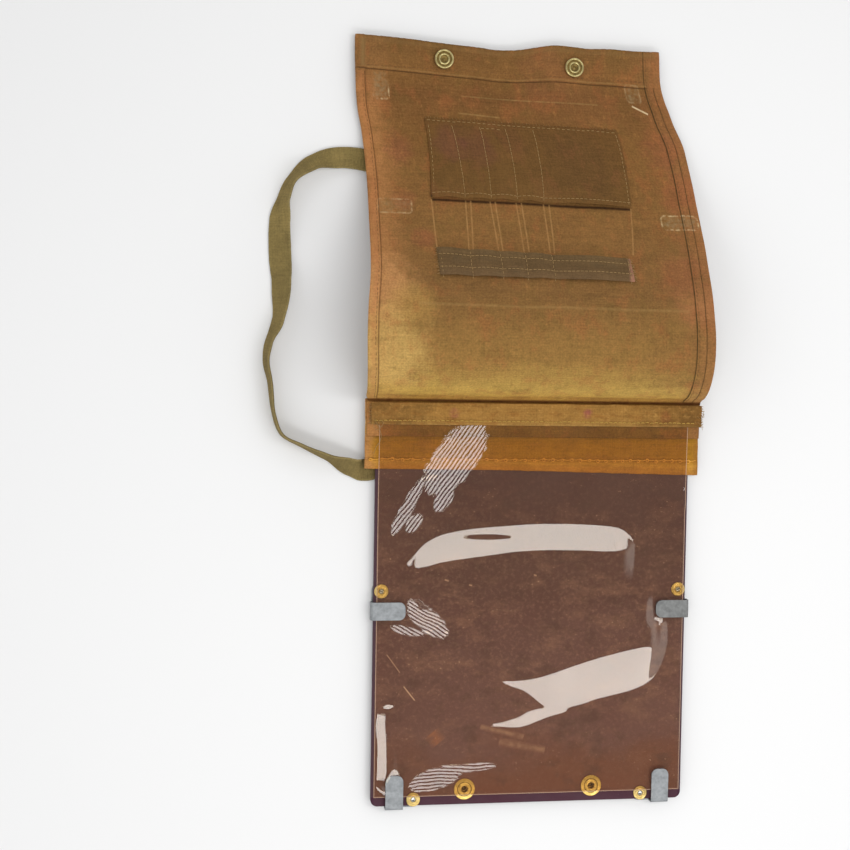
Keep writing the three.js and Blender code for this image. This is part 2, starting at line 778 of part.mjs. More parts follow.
// Webbing laid out at the left, turning between flat and on edge, always down on the surface
function makeStrap() {
  const lowerY = -sleeveFrontDepth + 1;
  const points = strapRoute.map(({ out, run }) => {
    const x = -sleeveWidth / 2 - (out > 0 ? out * strapReach : (out * sleeveWidth) / 2);
    return new THREE.Vector3(x, lowerY + run * strapRun, 0);
  });
  const last = points.at(-1);
  points.push(new THREE.Vector3(last.x, -boardHidden, 0));
  points.push(new THREE.Vector3(last.x, -boardHidden - strapEndRun, 0));
  const turns = [...strapRoute.map((point) => point.turn), 0, 0];
  const route = new THREE.CatmullRomCurve3(points, false, 'centripetal');
  const perLeg = 3;
  const stations = even(0, points.length - 1, (points.length - 1) * perLeg);
  const section = (side, station, up) => {
    const share = station / (points.length - 1);
    const centre = route.getPoint(share);
    const forward = route.getTangent(share);
    const leg = Math.min(Math.floor(station), turns.length - 2);
    const turn = THREE.MathUtils.lerp(turns[leg], turns[leg + 1], ease(0, 1, station - leg));
    const angle = THREE.MathUtils.degToRad(turn);
    const level = new THREE.Vector3(forward.y, -forward.x, 0);
    const across = level.clone().multiplyScalar(Math.cos(angle));
    across.z = Math.sin(angle);
    const outward = level.multiplyScalar(-Math.sin(angle));
    outward.z = Math.cos(angle);
    const lift = (strapWidth / 2) * Math.sin(angle) + (strapThickness / 2) * Math.cos(angle);
    centre.z = lift;
    centre.addScaledVector(across, (side * strapWidth) / 2);
    return centre.addScaledVector(outward, (up * strapThickness) / 2).toArray();
  };
  const geometry = wall(
    [-1, 1],
    stations,
    (side, station) => section(side, station, 1),
    (side, station) => section(side, station, -1),
  );
  addPiece('carrying_strap', geometry, 'webbing');
}

makeBoard();
makeSleeve();
makeHingeStrip();
makeCover();
makeFlap();
makePocket();
makeKeeperBand();
makeClips();
makeRivets();
makeBoardSnaps();
makeFlapSnaps();
makeStrap();

// Origin at the bottom centre of the whole case
mapCase.updateMatrixWorld(true);
const box = new THREE.Box3().setFromObject(mapCase, true);
mapCase.position.set(-(box.min.x + box.max.x) / 2, -(box.min.y + box.max.y) / 2, -box.min.z);
mapCase.updateMatrixWorld(true);

export default mapCase;
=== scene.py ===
import bpy
import bmesh
import math
import random
from mathutils import Euler, Matrix, Vector, noise


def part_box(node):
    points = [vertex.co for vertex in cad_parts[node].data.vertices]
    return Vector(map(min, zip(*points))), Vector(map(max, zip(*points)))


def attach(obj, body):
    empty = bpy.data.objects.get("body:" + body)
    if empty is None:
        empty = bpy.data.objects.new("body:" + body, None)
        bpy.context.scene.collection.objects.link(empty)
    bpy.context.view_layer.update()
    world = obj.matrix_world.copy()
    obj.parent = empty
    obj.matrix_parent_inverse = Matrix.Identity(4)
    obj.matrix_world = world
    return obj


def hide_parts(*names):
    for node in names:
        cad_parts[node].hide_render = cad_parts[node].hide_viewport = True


# An open map case lying on its back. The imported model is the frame; everything here is in
# metres, and the dictionaries are in millimetres measured from the hinge line of the board.
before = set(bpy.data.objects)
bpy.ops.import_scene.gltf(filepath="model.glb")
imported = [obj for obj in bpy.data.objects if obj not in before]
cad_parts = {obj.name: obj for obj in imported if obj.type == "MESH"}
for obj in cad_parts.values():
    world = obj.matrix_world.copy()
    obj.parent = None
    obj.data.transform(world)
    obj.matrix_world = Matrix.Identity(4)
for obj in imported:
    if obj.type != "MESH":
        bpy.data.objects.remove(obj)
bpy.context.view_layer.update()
mm = 0.001
boardLow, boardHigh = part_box("map_board")
hinge = Vector(((boardLow.x + boardHigh.x) / 2, boardHigh.y + 2 * mm, 0))
print("frame loaded")


board = {"half": 115, "foot": -288, "face": 8.0}


def spot(x, y, z=0.0):
    return hinge + Vector((x, y, z)) * mm


def ease(start, end, value):
    share = min(max((value - start) / (end - start), 0.0), 1.0)
    return share * share * (3 - 2 * share)


def even(start, end, step):
    count = max(1, round(abs(end - start) / step))
    return [start + (end - start) * i / count for i in range(count + 1)]


def blend(a, b, share):
    return a + (b - a) * share


# Value of one column of a table at a share of the way, smooth through its rows
def readTable(table, column, share):
    row = 0
    while row < len(table) - 2 and share > table[row + 1][0]:
        row += 1

    def slopeAt(i):
        before, after = table[max(i - 1, 0)], table[min(i + 1, len(table) - 1)]
        return (after[column] - before[column]) / (after[0] - before[0])

    step = table[row + 1][0] - table[row][0]
    t = (share - table[row][0]) / step
    start = table[row][column] * (2 * t ** 3 - 3 * t ** 2 + 1)
    end = table[row + 1][column] * (3 * t ** 2 - 2 * t ** 3)
    leave = slopeAt(row) * step * (t ** 3 - 2 * t ** 2 + t)
    arrive = slopeAt(row + 1) * step * (t ** 3 - t ** 2)
    return start + end + leave + arrive


# Meshes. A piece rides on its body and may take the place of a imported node.
def addPiece(name, points, faces, material, body="case", replaces=(), slot=None, cloth=None, sharp=40):
    mesh = bpy.data.meshes.new(name)
    mesh.from_pydata([tuple(point) for point in points], [], faces)
    if cloth:
        layer = mesh.uv_layers.new(name="cloth")
        for loop in mesh.loops:
            layer.data[loop.index].uv = cloth[loop.vertex_index]
    shaped = bmesh.new()
    shaped.from_mesh(mesh)
    bmesh.ops.recalc_face_normals(shaped, faces=shaped.faces)
    shaped.to_mesh(mesh)
    shaped.free()
    mesh.shade_smooth()
    if sharp:
        mesh.set_sharp_from_angle(angle=math.radians(sharp))
    mesh.materials.append(material)
    piece = bpy.data.objects.new(name, mesh)
    bpy.context.scene.collection.objects.link(piece)
    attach(piece, body)
    if replaces:
        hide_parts(*replaces)
    return piece


# Closed sheet between two faces over one grid, with a rounded rim
def addSheet(name, us, vs, upper, lower, material, plump=0.35, onCloth=None, backShift=1.0, **rest):
    onCloth = onCloth or (lambda u, v: (u * mm, v * mm))
    columns, rows = len(us), len(vs)
    points = [upper(u, v) for v in vs for u in us] + [lower(u, v) for v in vs for u in us]
    cloth = [onCloth(u, v) for v in vs for u in us]
    cloth += [(x + backShift, y) for x, y in cloth]
    size = columns * rows
    faces = []
    for row in range(rows - 1):
        for column in range(columns - 1):
            a = row * columns + column
            b = a + columns
            faces.append((a, a + 1, b + 1, b))
            faces.append((size + a, size + b, size + b + 1, size + a + 1))
    rim = [(0, c) for c in range(columns)] + [(r, columns - 1) for r in range(1, rows)]
    rim += [(rows - 1, c) for c in range(columns - 2, -1, -1)] + [(r, 0) for r in range(rows - 2, 0, -1)]
    middle = []
    for row, column in rim:
        at = row * columns + column
        inside = min(max(row, 1), rows - 2) * columns + min(max(column, 1), columns - 2)
        outward = (points[at] - points[inside]).normalized()
        thickness = (points[at] - points[size + at]).length
        middle.append(len(points))
        points.append((points[at] + points[size + at]) / 2 + outward * thickness * plump)
        cloth.append(cloth[at])
    for i, (row, column) in enumerate(rim):
        nextRow, nextColumn = rim[(i + 1) % len(rim)]
        a, b = row * columns + column, nextRow * columns + nextColumn
        c, d = middle[i], middle[(i + 1) % len(rim)]
        faces.append((a, c, d, b))
        faces.append((c, size + a, size + b, d))
    return addPiece(name, points, faces, material, cloth=cloth, **rest)


# Threads: one thin tube along each path. A path is a list of points in metres.
def addYarns(name, paths, radius, material, sides=5, **rest):
    points, faces = [], []
    for path in paths:
        base = len(points)
        for i, point in enumerate(path):
            forward = (path[min(i + 1, len(path) - 1)] - path[max(i - 1, 0)]).normalized()
            side = forward.cross(Vector((0, 0, 1)))
            side = side.normalized() if side.length > 1e-3 else Vector((1, 0, 0))
            up = side.cross(forward)
            thick = radius * (0.55 if i in (0, len(path) - 1) else 1.0)
            for k in range(sides):
                turn = 2 * math.pi * k / sides
                points.append(point + (side * math.cos(turn) + up * math.sin(turn)) * thick)
        for i in range(len(path) - 1):
            for k in range(sides):
                a, b = base + i * sides + k, base + i * sides + (k + 1) % sides
                faces.append((a, b, b + sides, a + sides))
        faces.append(tuple(base + k for k in range(sides - 1, -1, -1)))
        last = base + (len(path) - 1) * sides
        faces.append(tuple(last + k for k in range(sides)))
    return addPiece(name, points, faces, material, sharp=None, **rest)


# Round piece about an axis, from radius and height pairs
def addTurned(name, profile, place, material, segments=56, sharp=32, **rest):
    points, faces, rings = [], [], []
    for radius, height in profile:
        if radius == 0:
            rings.append([len(points)])
            points.append(place @ Vector((0, 0, height * mm)))
            continue
        rings.append([len(points) + k for k in range(segments)])
        for k in range(segments):
            turn = 2 * math.pi * k / segments
            around = Vector((math.cos(turn) * radius, math.sin(turn) * radius, height)) * mm
            points.append(place @ around)
    for low, high in zip(rings, rings[1:]):
        for k in range(segments):
            n = (k + 1) % segments
            if len(low) == 1:
                faces.append((low[0], high[n], high[k]))
            elif len(high) == 1:
                faces.append((low[k], low[n], high[0]))
            else:
                faces.append((low[k], low[n], high[n], high[k]))
    return addPiece(name, points, faces, material, sharp=sharp, **rest)


# Colour from its usual six-figure code
def tint(code):
    channels = [int(code[i:i + 2], 16) / 255 for i in (1, 3, 5)]
    return tuple(c / 12.92 if c <= 0.04045 else ((c + 0.055) / 1.055) ** 2.4 for c in channels) + (1.0,)


# Adds one node and gives one of its outputs. given holds its sockets: a value, or the output
# that feeds it.
def add(tree, kind, given=None, out=0, **settings):
    node = tree.nodes.new("ShaderNode" + kind)
    stops = settings.pop("stops", None)
    for key, value in settings.items():
        setattr(node, key, value)
    if stops:
        ramp = node.color_ramp
        while len(ramp.elements) < len(stops):
            ramp.elements.new(0.5)
        for element, (place, value) in zip(ramp.elements, stops):
            element.position = place
            element.color = tint(value) if isinstance(value, str) else (value, value, value, 1)
    for key, value in (given or {}).items():
        if isinstance(value, bpy.types.NodeSocket):
            tree.links.new(value, node.inputs[key])
        else:
            node.inputs[key].default_value = value
    return node.outputs[out]


def newMaterial(name):
    material = bpy.data.materials.new(name)
    material.use_nodes = True
    tree = material.node_tree
    return material, tree, tree.nodes["Principled BSDF"]


# Noise from 0 to 1 over millimetres, stretched by the size of its grain across and along
def grain(tree, cloth, across, along, detail=2.0, shift=0.0, roughness=0.5):
    scaled = add(tree, "Mapping", {"Vector": cloth, "Scale": (1 / across, 1 / along, 1 / across),
                                   "Location": (shift, shift * 1.7, shift)})
    return add(tree, "TexNoise", {"Vector": scaled, "Scale": 1.0, "Detail": detail,
                                  "Roughness": roughness})


# Plain weave: over and under threads from two sine waves. Height from 0 to 1.
def weaveHeight(tree, u, v, pitch):
    across = add(tree, "Math", {0: add(tree, "Math", {0: u, 1: math.pi / pitch}, operation="MULTIPLY")},
                 operation="SINE")
    along = add(tree, "Math", {0: add(tree, "Math", {0: v, 1: math.pi / pitch}, operation="MULTIPLY")},
                operation="SINE")
    over = add(tree, "Math", {0: add(tree, "Math", {0: across, 1: along}, operation="MULTIPLY"), 1: 3.0,
                              2: 0.5}, operation="MULTIPLY_ADD")
    over = add(tree, "Clamp", {"Value": over})
    warp, weft = add(tree, "Math", {0: across}, operation="ABSOLUTE"), add(tree, "Math", {0: along},
                                                                           operation="ABSOLUTE")
    return add(tree, "Mix", {0: over, 2: weft, 3: warp})


# Cotton duck. Colours run along the cloth and towards its two edges; uneven yarns give
# fine streaks along both threads, and blotches give the worn, stained look.
def cottonDuck(name, look):
    material, tree, shader = newMaterial(name)
    uv = add(tree, "UVMap", uv_map="cloth")
    cloth = add(tree, "VectorMath", {0: uv, "Scale": 1000.0}, operation="SCALE")
    split = add(tree, "SeparateXYZ", {0: cloth})
    u, v = split.node.outputs[0], split.node.outputs[1]
    blotch = grain(tree, cloth, 34, 26, 4.0, 3.1, 0.6)
    patch = grain(tree, cloth, 9, 7, 3.0, 7.7, 0.6)
    near, far = look["span"]
    wander = add(tree, "Math", {0: blotch, 1: look.get("wander", 24.0), 2: -0.5 * look.get("wander", 24.0)},
                 operation="MULTIPLY_ADD")
    along = add(tree, "Math", {0: v, 1: wander}, operation="ADD")
    share = add(tree, "Math", {0: add(tree, "Math", {0: along, 1: near}, operation="SUBTRACT"),
                               1: far - near}, operation="DIVIDE")
    stops = [((place - near) / (far - near), code) for place, code in look["along"]]
    colour = add(tree, "ValToRGB", {0: share}, stops=stops)
    for place, width, code, strength in look.get("edges", ()):
        wide = add(tree, "Math", {0: add(tree, "Math",
                                         {0: add(tree, "Math", {0: u, 1: place}, operation="SUBTRACT")},
                                         operation="ABSOLUTE"),
                                         1: add(tree, "Math", {0: patch, 1: width, 2: -0.5 * width},
                                                operation="MULTIPLY_ADD")}, operation="ADD")
        fall = add(tree, "MapRange", {0: wide, 1: width, 2: 0.0, 3: 0.0, 4: strength},
                   interpolation_type="SMOOTHSTEP")
        colour = add(tree, "Mix", {0: fall, 6: colour, 7: tint(code)}, out=2, data_type="RGBA")
    for x, y, radius, code, strength in look.get("stains", ()):
        offset = add(tree, "VectorMath", {0: cloth, 1: (x, y, 0)}, operation="SUBTRACT")
        reach = add(tree, "VectorMath", {0: offset}, operation="LENGTH", out=1)
        reach = add(tree, "Math", {0: patch, 1: radius * 0.9,
                                   2: add(tree, "Math", {0: reach, 1: radius * 0.45}, operation="SUBTRACT")},
                                   operation="MULTIPLY_ADD")
        fall = add(tree, "MapRange", {0: reach, 1: radius, 2: radius * 0.3, 3: 0.0, 4: strength},
                   interpolation_type="SMOOTHSTEP")
        colour = add(tree, "Mix", {0: fall, 6: colour, 7: tint(code)}, out=2, data_type="RGBA")
    for across, along, low, high, code, strength, shift in look.get("layers", ()):
        cover = grain(tree, cloth, across, along, 6.0, shift, 0.68)
        share = add(tree, "MapRange", {0: cover, 1: low, 2: high, 3: 0.0, 4: strength},
                    interpolation_type="SMOOTHSTEP")
        colour = add(tree, "Mix", {0: share, 6: colour, 7: tint(code)}, out=2, data_type="RGBA")
    weft = grain(tree, cloth, 22, 0.9, 3.0, 1.3)
    warp = grain(tree, cloth, 0.9, 26, 3.0, 5.9)
    fleck = grain(tree, cloth, 1.3, 1.3, 3.0, 9.2)
    weave = weaveHeight(tree, u, v, look.get("pitch", 0.8))
    streak = look.get("streak", 0.5)
    sways = [(weft, streak), (warp, 0.6 * streak), (fleck, look.get("fleck", 0.7)),
             (blotch, look.get("blotch", 0.7)),
             (patch, look.get("patch", 0.5)), (weave, 0.2)]
    tone = 1.0 - sum(amount for pattern, amount in sways) / 2
    for pattern, amount in sways:
        tone = add(tree, "Math", {0: pattern, 1: amount, 2: tone}, operation="MULTIPLY_ADD")
    grey = add(tree, "CombineColor", {0: tone, 1: tone, 2: tone})
    colour = add(tree, "Mix", {0: 1.0, 6: colour, 7: grey}, out=2, data_type="RGBA", blend_type="MULTIPLY")
    for extra in look.get("extras", ()):
        colour = extra(tree, cloth, u, v, colour)
    yarns = add(tree, "Math", {0: weft, 1: 0.9, 2: add(tree, "Math", {0: warp, 1: 0.5, 2: weave},
                                                       operation="MULTIPLY_ADD")}, operation="MULTIPLY_ADD")
    bump = add(tree, "Bump", {"Height": yarns, "Distance": look.get("depth", 0.12) * mm, "Strength": 1.0})
    creases = grain(tree, cloth, 16, 12, 2.0, 2.2)
    soft = add(tree, "Bump", {"Height": creases, "Distance": look.get("crease", 1.2) * mm, "Strength": 1.0,
                              "Normal": bump})
    tree.links.new(colour, shader.inputs["Base Color"])
    tree.links.new(soft, shader.inputs["Normal"])
    shader.inputs["Roughness"].default_value = 0.93
    shader.inputs["Specular IOR Level"].default_value = 0.15
    shader.inputs["Sheen Weight"].default_value = 0.05
    shader.inputs["Sheen Roughness"].default_value = 0.5
    shader.inputs["Sheen Tint"].default_value = tint("#c8b48a")
    return material


# Greyish print with a pale rim, where a hard clip lay against the cloth. The rim shows only
# on the side that way points to, and all round without one.
def clipPrint(x, y, halfWide, halfLong, fill=0.3, rim=0.6, way=None, code="#d2b98a", corner=2.5):
    def draw(tree, cloth, u, v, colour):
        wobble = add(tree, "Math", {0: grain(tree, cloth, 3.0, 3.0, 3.0, x), 1: 4.6, 2: -1.7},
                     operation="MULTIPLY_ADD")
        du = add(tree, "Math", {0: u, 1: x}, operation="SUBTRACT")
        dv = add(tree, "Math", {0: v, 1: y}, operation="SUBTRACT")
        dx = add(tree, "Math", {0: add(tree, "Math", {0: du}, operation="ABSOLUTE"), 1: halfWide - corner},
                 operation="SUBTRACT")
        dy = add(tree, "Math", {0: add(tree, "Math", {0: dv}, operation="ABSOLUTE"), 1: halfLong - corner},
                 operation="SUBTRACT")
        outside = add(tree, "CombineXYZ", {0: add(tree, "Math", {0: dx, 1: 0.0}, operation="MAXIMUM"),
                                           1: add(tree, "Math", {0: dy, 1: 0.0}, operation="MAXIMUM")})
        length = add(tree, "VectorMath", {0: outside}, operation="LENGTH", out=1)
        inside = add(tree, "Math", {0: add(tree, "Math", {0: dx, 1: dy}, operation="MAXIMUM"), 1: 0.0},
                     operation="MINIMUM")
        away = add(tree, "Math", {0: add(tree, "Math", {0: length, 1: inside}, operation="ADD"), 1: corner},
                   operation="SUBTRACT")
        line = add(tree, "MapRange", {0: add(tree, "Math", {0: away}, operation="ABSOLUTE"), 1: 0.95, 2: 0.2,
                                      3: 0.0, 4: rim})
        if way:
            ahead = add(tree, "Math", {0: du, 1: way[0], 2: add(tree, "Math", {0: dv, 1: way[1]},
                                                                operation="MULTIPLY")},
                                                                operation="MULTIPLY_ADD")
            shown = add(tree, "MapRange", {0: ahead, 1: 2.0, 2: 4.5, 3: 0.0, 4: 1.0})
            line = add(tree, "Math", {0: line, 1: shown}, operation="MULTIPLY")
        body = add(tree, "MapRange", {0: away, 1: 0.3, 2: -2.5, 3: 0.0, 4: fill})
        body = add(tree, "Clamp", {"Value": add(tree, "Math", {0: body, 1: wobble}, operation="MULTIPLY")})
        line = add(tree, "Clamp", {"Value": add(tree, "Math", {0: line, 1: wobble}, operation="MULTIPLY")})
        return add(tree, "Mix", {0: line, 6: add(tree, "Mix", {0: body, 6: colour, 7: tint("#93805c")},
                                                 out=2, data_type="RGBA"), 7: tint(code)}, out=2,
                                                 data_type="RGBA")
    return draw


# Faint lines on the cloth where a seam was unpicked or the cloth was long folded; dark lines drawn with it
# also serve as painted shade
def lineMark(x0, y0, x1, y1, wide, code, strength, broken=1.6):
    def draw(tree, cloth, u, v, colour):
        length = math.hypot(x1 - x0, y1 - y0)
        dirX, dirY = (x1 - x0) / length, (y1 - y0) / length
        du, dv = add(tree, "Math", {0: u, 1: x0}, operation="SUBTRACT"), add(tree, "Math", {0: v, 1: y0},
                                                                             operation="SUBTRACT")
        along = add(tree, "Math", {0: du, 1: dirX, 2: add(tree, "Math", {0: dv, 1: dirY},
                                                          operation="MULTIPLY")}, operation="MULTIPLY_ADD")
        across = add(tree, "Math", {0: du, 1: dirY, 2: add(tree, "Math", {0: dv, 1: -dirX},
                                                           operation="MULTIPLY")}, operation="MULTIPLY_ADD")
        line = add(tree, "MapRange", {0: add(tree, "Math", {0: across}, operation="ABSOLUTE"), 1: wide,
                                      2: wide * 0.2, 3: 0.0, 4: strength})
        ends = add(tree, "Math", {0: add(tree, "Math", {0: along, 1: 0.0}, operation="GREATER_THAN"),
                                  1: add(tree, "Math", {0: along, 1: length}, operation="LESS_THAN")},
                                  operation="MULTIPLY")
        wobble = add(tree, "Math", {0: grain(tree, cloth, 4.0, 4.0, 3.0, x0), 1: broken,
                                    2: 1.0 - broken / 2}, operation="MULTIPLY_ADD")
        mask = add(tree, "Math", {0: add(tree, "Math", {0: line, 1: ends}, operation="MULTIPLY"), 1: wobble},
                   operation="MULTIPLY")
        mask = add(tree, "Clamp", {"Value": mask})
        return add(tree, "Mix", {0: mask, 6: colour, 7: tint(code)}, out=2, data_type="RGBA")
    return draw


# Seams and lines that the flap's cloth shows, and two dark lines of painted shade: x and place along it at
# both ends, width, colour, strength
flapLinesAndShade = [
    (-118.3, 2, -118.3, 275, 3.6, "#b9784a", 0.3, 1.6), (-115.1, 2, -115.1, 275, 0.75, "#5f3f20", 0.75, 0.8),
    (108.4, 2, 108.4, 300, 0.6, "#3c3119", 0.85, 0.8), (115.4, 2, 115.4, 275, 0.55, "#46341b", 0.8, 1.0),
    (-121.5, 277.1, 0, 275.6, 0.65, "#49311a", 0.8, 0.8), (0, 275.6, 110, 274.3, 0.65, "#49311a", 0.8, 0.8),
    (-118, 278.6, 110, 276.0, 0.9, "#a07b4a", 0.35, 1.8),
    (-116.2, 279, -116.2, 298, 3.4, "#866a40", 0.7, 0.8),
    (-108, 297.5, 118, 297.5, 2.0, "#86653b", 0.35, 1.8),
    # painted shadow: dark band on the flap just below the pocket's mouth
    (-77, 183.4, 70, 183.4, 1.7, "#38220f", 0.95, 0.5),
    # painted shade: dark band in the crease at the flap's root, just above the hinge tape
    (-122, 1.0, 122, 1.0, 2.6, "#55300f", 0.95, 0.5),
    (-88, 100, 104, 101, 1.5, "#a5834f", 0.28, 2.4), (-40, 262, 30, 261, 0.7, "#a58552", 0.3, 3.0),
    (30, 261, 68, 261, 0.7, "#a58552", 0.3, 2.6), (-44, 249.5, -12, 248, 0.8, "#a98652", 0.35, 2.6),
]
# Where the pocket's sewing once ran on to the band: x at the pocket and at the band
unpicked = [(-77, -75.5), (-52.2, -52.7), (-48.4, -49.6), (-34.3, -31.4), (-30.6, -28.4), (-15.3, -13.2),
            (-11.4, -9.6),
            (4.9, 5.8), (9.2, 9.0), (70.4, 66)]

flapLook = {
    "span": (-25, 300),
    # the stops from 16 to 34 are made brighter as painted highlight on the steeply rising part of the flap
    # above the crease
    "along": [(-25, "#7c5a28"), (-14, "#8a6630"), (-8, "#a17136"), (6, "#a67c38"), (16, "#c39c4b"),
              (34, "#b6944b"), (62, "#8e6b38"),
              (110, "#795730"), (170, "#805b31"), (235, "#78542c"), (262, "#704c29"), (274, "#76522b"),
              (279, "#7e582f"), (300, "#73522c")],
    "edges": [(-121.5, 32, "#b07949", 0.75), (121.5, 28, "#92623b", 0.75)],
    "stains": [(-96, 222, 15, "#8e4d3c", 0.3), (-98, 182, 12, "#94503a", 0.3),
               (-84, 152, 12, "#98503a", 0.3), (104, 230, 20, "#8f5038", 0.35),
               (112, 196, 24, "#9a5538", 0.35), (100, 130, 26, "#94563a", 0.35),
               (30, 280, 34, "#8e5a3a", 0.3), (60, 262, 40, "#855a34", 0.3),
               (-118, 290, 26, "#77552f", 0.8), (-114, 112, 34, "#c08c58", 0.6),
               (114, 102, 26, "#a26c44", 0.5),
               (-92, 100, 22, "#b08a4a", 0.5), (-112, 62, 44, "#bf9d5a", 0.7), (-112, 22, 30, "#c5a04e", 0.6),
               (100, 62, 40, "#7b5830", 0.45)],
    "layers": [(16, 24, 0.5, 0.64, "#9a5c35", 0.32, 11.0), (13, 19, 0.5, 0.64, "#6a5228", 0.28, 17.0),
               (5, 7, 0.53, 0.66, "#a47340", 0.25, 23.0),
               (4, 6, 0.54, 0.68, "#5f4622", 0.22, 29.0)],
    "wander": 30.0, "pitch": 0.8, "streak": 0.45, "blotch": 0.42, "patch": 0.3, "fleck": 0.9,
    "extras": [
        clipPrint(-103, 266, 6.3, 9.5, fill=0.4, rim=0.5, way=(0.5, -0.87)),
        clipPrint(97.5, 270, 5.5, 6, fill=0.35, rim=0.2),
        lineMark(94.5, 261.5, 105, 256.5, 0.9, "#d8c096", 0.8, 1.0),
        clipPrint(-103.5, 177.5, 12.0, 5.5, fill=0.2, rim=0.4, code="#c8ab7c"),
        clipPrint(106, 173.5, 14.0, 5.6, fill=0.4, rim=0.55, corner=4.0),
    ] + [lineMark(*seam) for seam in flapLinesAndShade]
      + [lineMark(low, 144.5, high, 184, 0.8, "#ae8350", 0.5, 2.2) for high, low in unpicked],
}
flapDuck = cottonDuck("cotton duck, stained ochre", flapLook)
pocketDuck = cottonDuck("cotton duck, brown drill", {
    "span": (180, 245), "along": [(180, "#6c4d28"), (200, "#694b26"), (245, "#674825")],
    # painted shadow: a dark band along the pocket's left edge near its mouth
    "edges": [(-77, 1.6, "#3f2a14", 0.7)],
    "stains": [(-58, 226, 17, "#6b4034", 0.4), (-36, 224, 17, "#6a3f33", 0.35),
               (-10, 230, 14, "#633f28", 0.3),
               (40, 215, 34, "#5f4324", 0.6), (8, 194, 14, "#7a5230", 0.3)],
    "layers": [(12, 17, 0.5, 0.64, "#7d4f30", 0.28, 12.0), (6, 8, 0.52, 0.66, "#574020", 0.25, 18.0)],
    "wander": 10.0, "pitch": 0.7, "streak": 0.45, "blotch": 0.3, "patch": 0.3, "fleck": 0.8, "depth": 0.1,
    "crease": 0.6,
})
bandDuck = cottonDuck("cotton duck, grey olive", {
    "span": (120, 146), "along": [(120, "#6a5237"), (132, "#604a2f"), (146, "#665033")],
    "edges": [(63.8, 3.5, "#a8765f", 0.75)],
    "layers": [(12, 9, 0.5, 0.64, "#5d4c34", 0.4, 12.0)],
    "wander": 6.0, "pitch": 0.7, "streak": 0.5, "blotch": 0.3, "depth": 0.1, "crease": 0.4,
})
sleeveDuck = cottonDuck("cotton duck, ochre of the sleeve", {
    "span": (0, 100), "along": [(0, "#b27a34"), (6, "#b98737"), (9, "#a37324"), (20, "#9e6f22"),
                                (26, "#966b20"),
                                # the stops at 27.5 and 34 give the olive-tan cloth just below the tape's
                                # fold, made brighter as painted light against the tape's shadow
                                (27.5, "#b69d4b"), (34, "#b89c4c"), (52, "#9f7846"), (100, "#7c5c33")],
    "edges": [(-121.5, 9, "#b4804e", 0.8), (121.5, 6, "#92632c", 0.7)],
    "layers": [(18, 9, 0.5, 0.64, "#a06a34", 0.3, 12.0), (8, 5, 0.52, 0.66, "#7d5420", 0.25, 18.0)],
    "wander": 2.5, "pitch": 0.8, "streak": 0.55, "blotch": 0.4, "depth": 0.12, "crease": 0.5,
})
stripDuck = cottonDuck("cotton duck, hinge tape", {
    "span": (0, 27), "along": [(0, "#7d5f33"), (11, "#94703a"), (17, "#9c743b"), (27, "#987139")],
    "edges": [(-119, 62, "#6b4c27", 0.6), (122, 62, "#634420", 0.75)],
    "stains": [(-60, 19, 5, "#8d4a48", 0.45), (37, 20, 5, "#8f4a4c", 0.7), (95, 18, 6, "#8a5330", 0.5)],
    "layers": [(14, 6, 0.5, 0.64, "#875a2a", 0.5, 12.0), (6, 4, 0.52, 0.66, "#b48a4c", 0.45, 18.0)],
    "wander": 3.0, "pitch": 0.7, "streak": 0.55, "blotch": 0.4, "depth": 0.1, "crease": 0.6,
})
webbingWeave = cottonDuck("cotton webbing, olive", {
    "span": (0, 700), "along": [(0, "#786840"), (350, "#857345"), (700, "#7a6941")],
    "edges": [(0, 1.2, "#8f8054", 0.6), (15, 1.2, "#8f8054", 0.6)],
    "layers": [(9, 30, 0.5, 0.64, "#6b5c38", 0.5, 12.0)],
    "wander": 20.0, "pitch": 1.1, "streak": 0.45, "blotch": 0.5, "depth": 0.25, "crease": 0.3,
})


# Sewing thread, waxed cotton: slightly glossy twist
def sewingThread(name, code):
    material, tree, shader = newMaterial(name)
    where = add(tree, "TexCoord", out="Object")
    fuzz = add(tree, "TexNoise", {"Vector": where, "Scale": 900.0, "Detail": 2.0})
    pale = tint(code)
    dark = tuple(c * 0.55 for c in pale[:3]) + (1.0,)
    colour = add(tree, "Mix", {0: fuzz, 6: dark, 7: pale}, out=2, data_type="RGBA")
    tree.links.new(colour, shader.inputs["Base Color"])
    bump = add(tree, "Bump", {"Height": fuzz, "Distance": 0.08 * mm, "Strength": 1.0})
    tree.links.new(bump, shader.inputs["Normal"])
    shader.inputs["Roughness"].default_value = 0.75
    shader.inputs["Specular IOR Level"].default_value = 0.2
    return material


paleThread = sewingThread("cotton thread, pale tan", "#b3925f")
goldThread = sewingThread("cotton thread, orange gold", "#f2b04a")
tapeThread = sewingThread("cotton thread, straw", "#cda652")
duckThread = sewingThread("frayed duck yarn", "#b08f5c")


# Laminated fibre board: pressed phenolic sheet, satin. Its face is rubbed into pale clouds
# and specks; the foot is redder, and the strip that the clear sheet leaves bare is purple.
# Scratches and rubbed streaks: x and y at both ends, width, colour, strength, how broken
boardMarks = [
    (-104.8, -178.5, -95.3, -191.5, 0.5, "#c9a592", 0.6, 1.2),
    (-92.3, -201.7, -84.2, -211.9, 0.6, "#dcbcaa", 0.8, 1.0),
    (-72, -236, -66, -243, 7.0, "#9a6248", 0.5, 3.0), (-36, -232, -4, -240, 2.6, "#a5806f", 0.5, 2.6),
    (-22, -243, 12, -250, 3.4, "#a5806f", 0.45, 2.6), (-63.9, -125, -61, -126, 0.8, "#c9a592", 0.7, 1.0),
    (-46.2, -128.8, -44, -129.4, 0.8, "#c9a592", 0.7, 1.0),
    (1.2, -121.8, 3.4, -122.6, 0.8, "#c9a592", 0.6, 1.0),
]


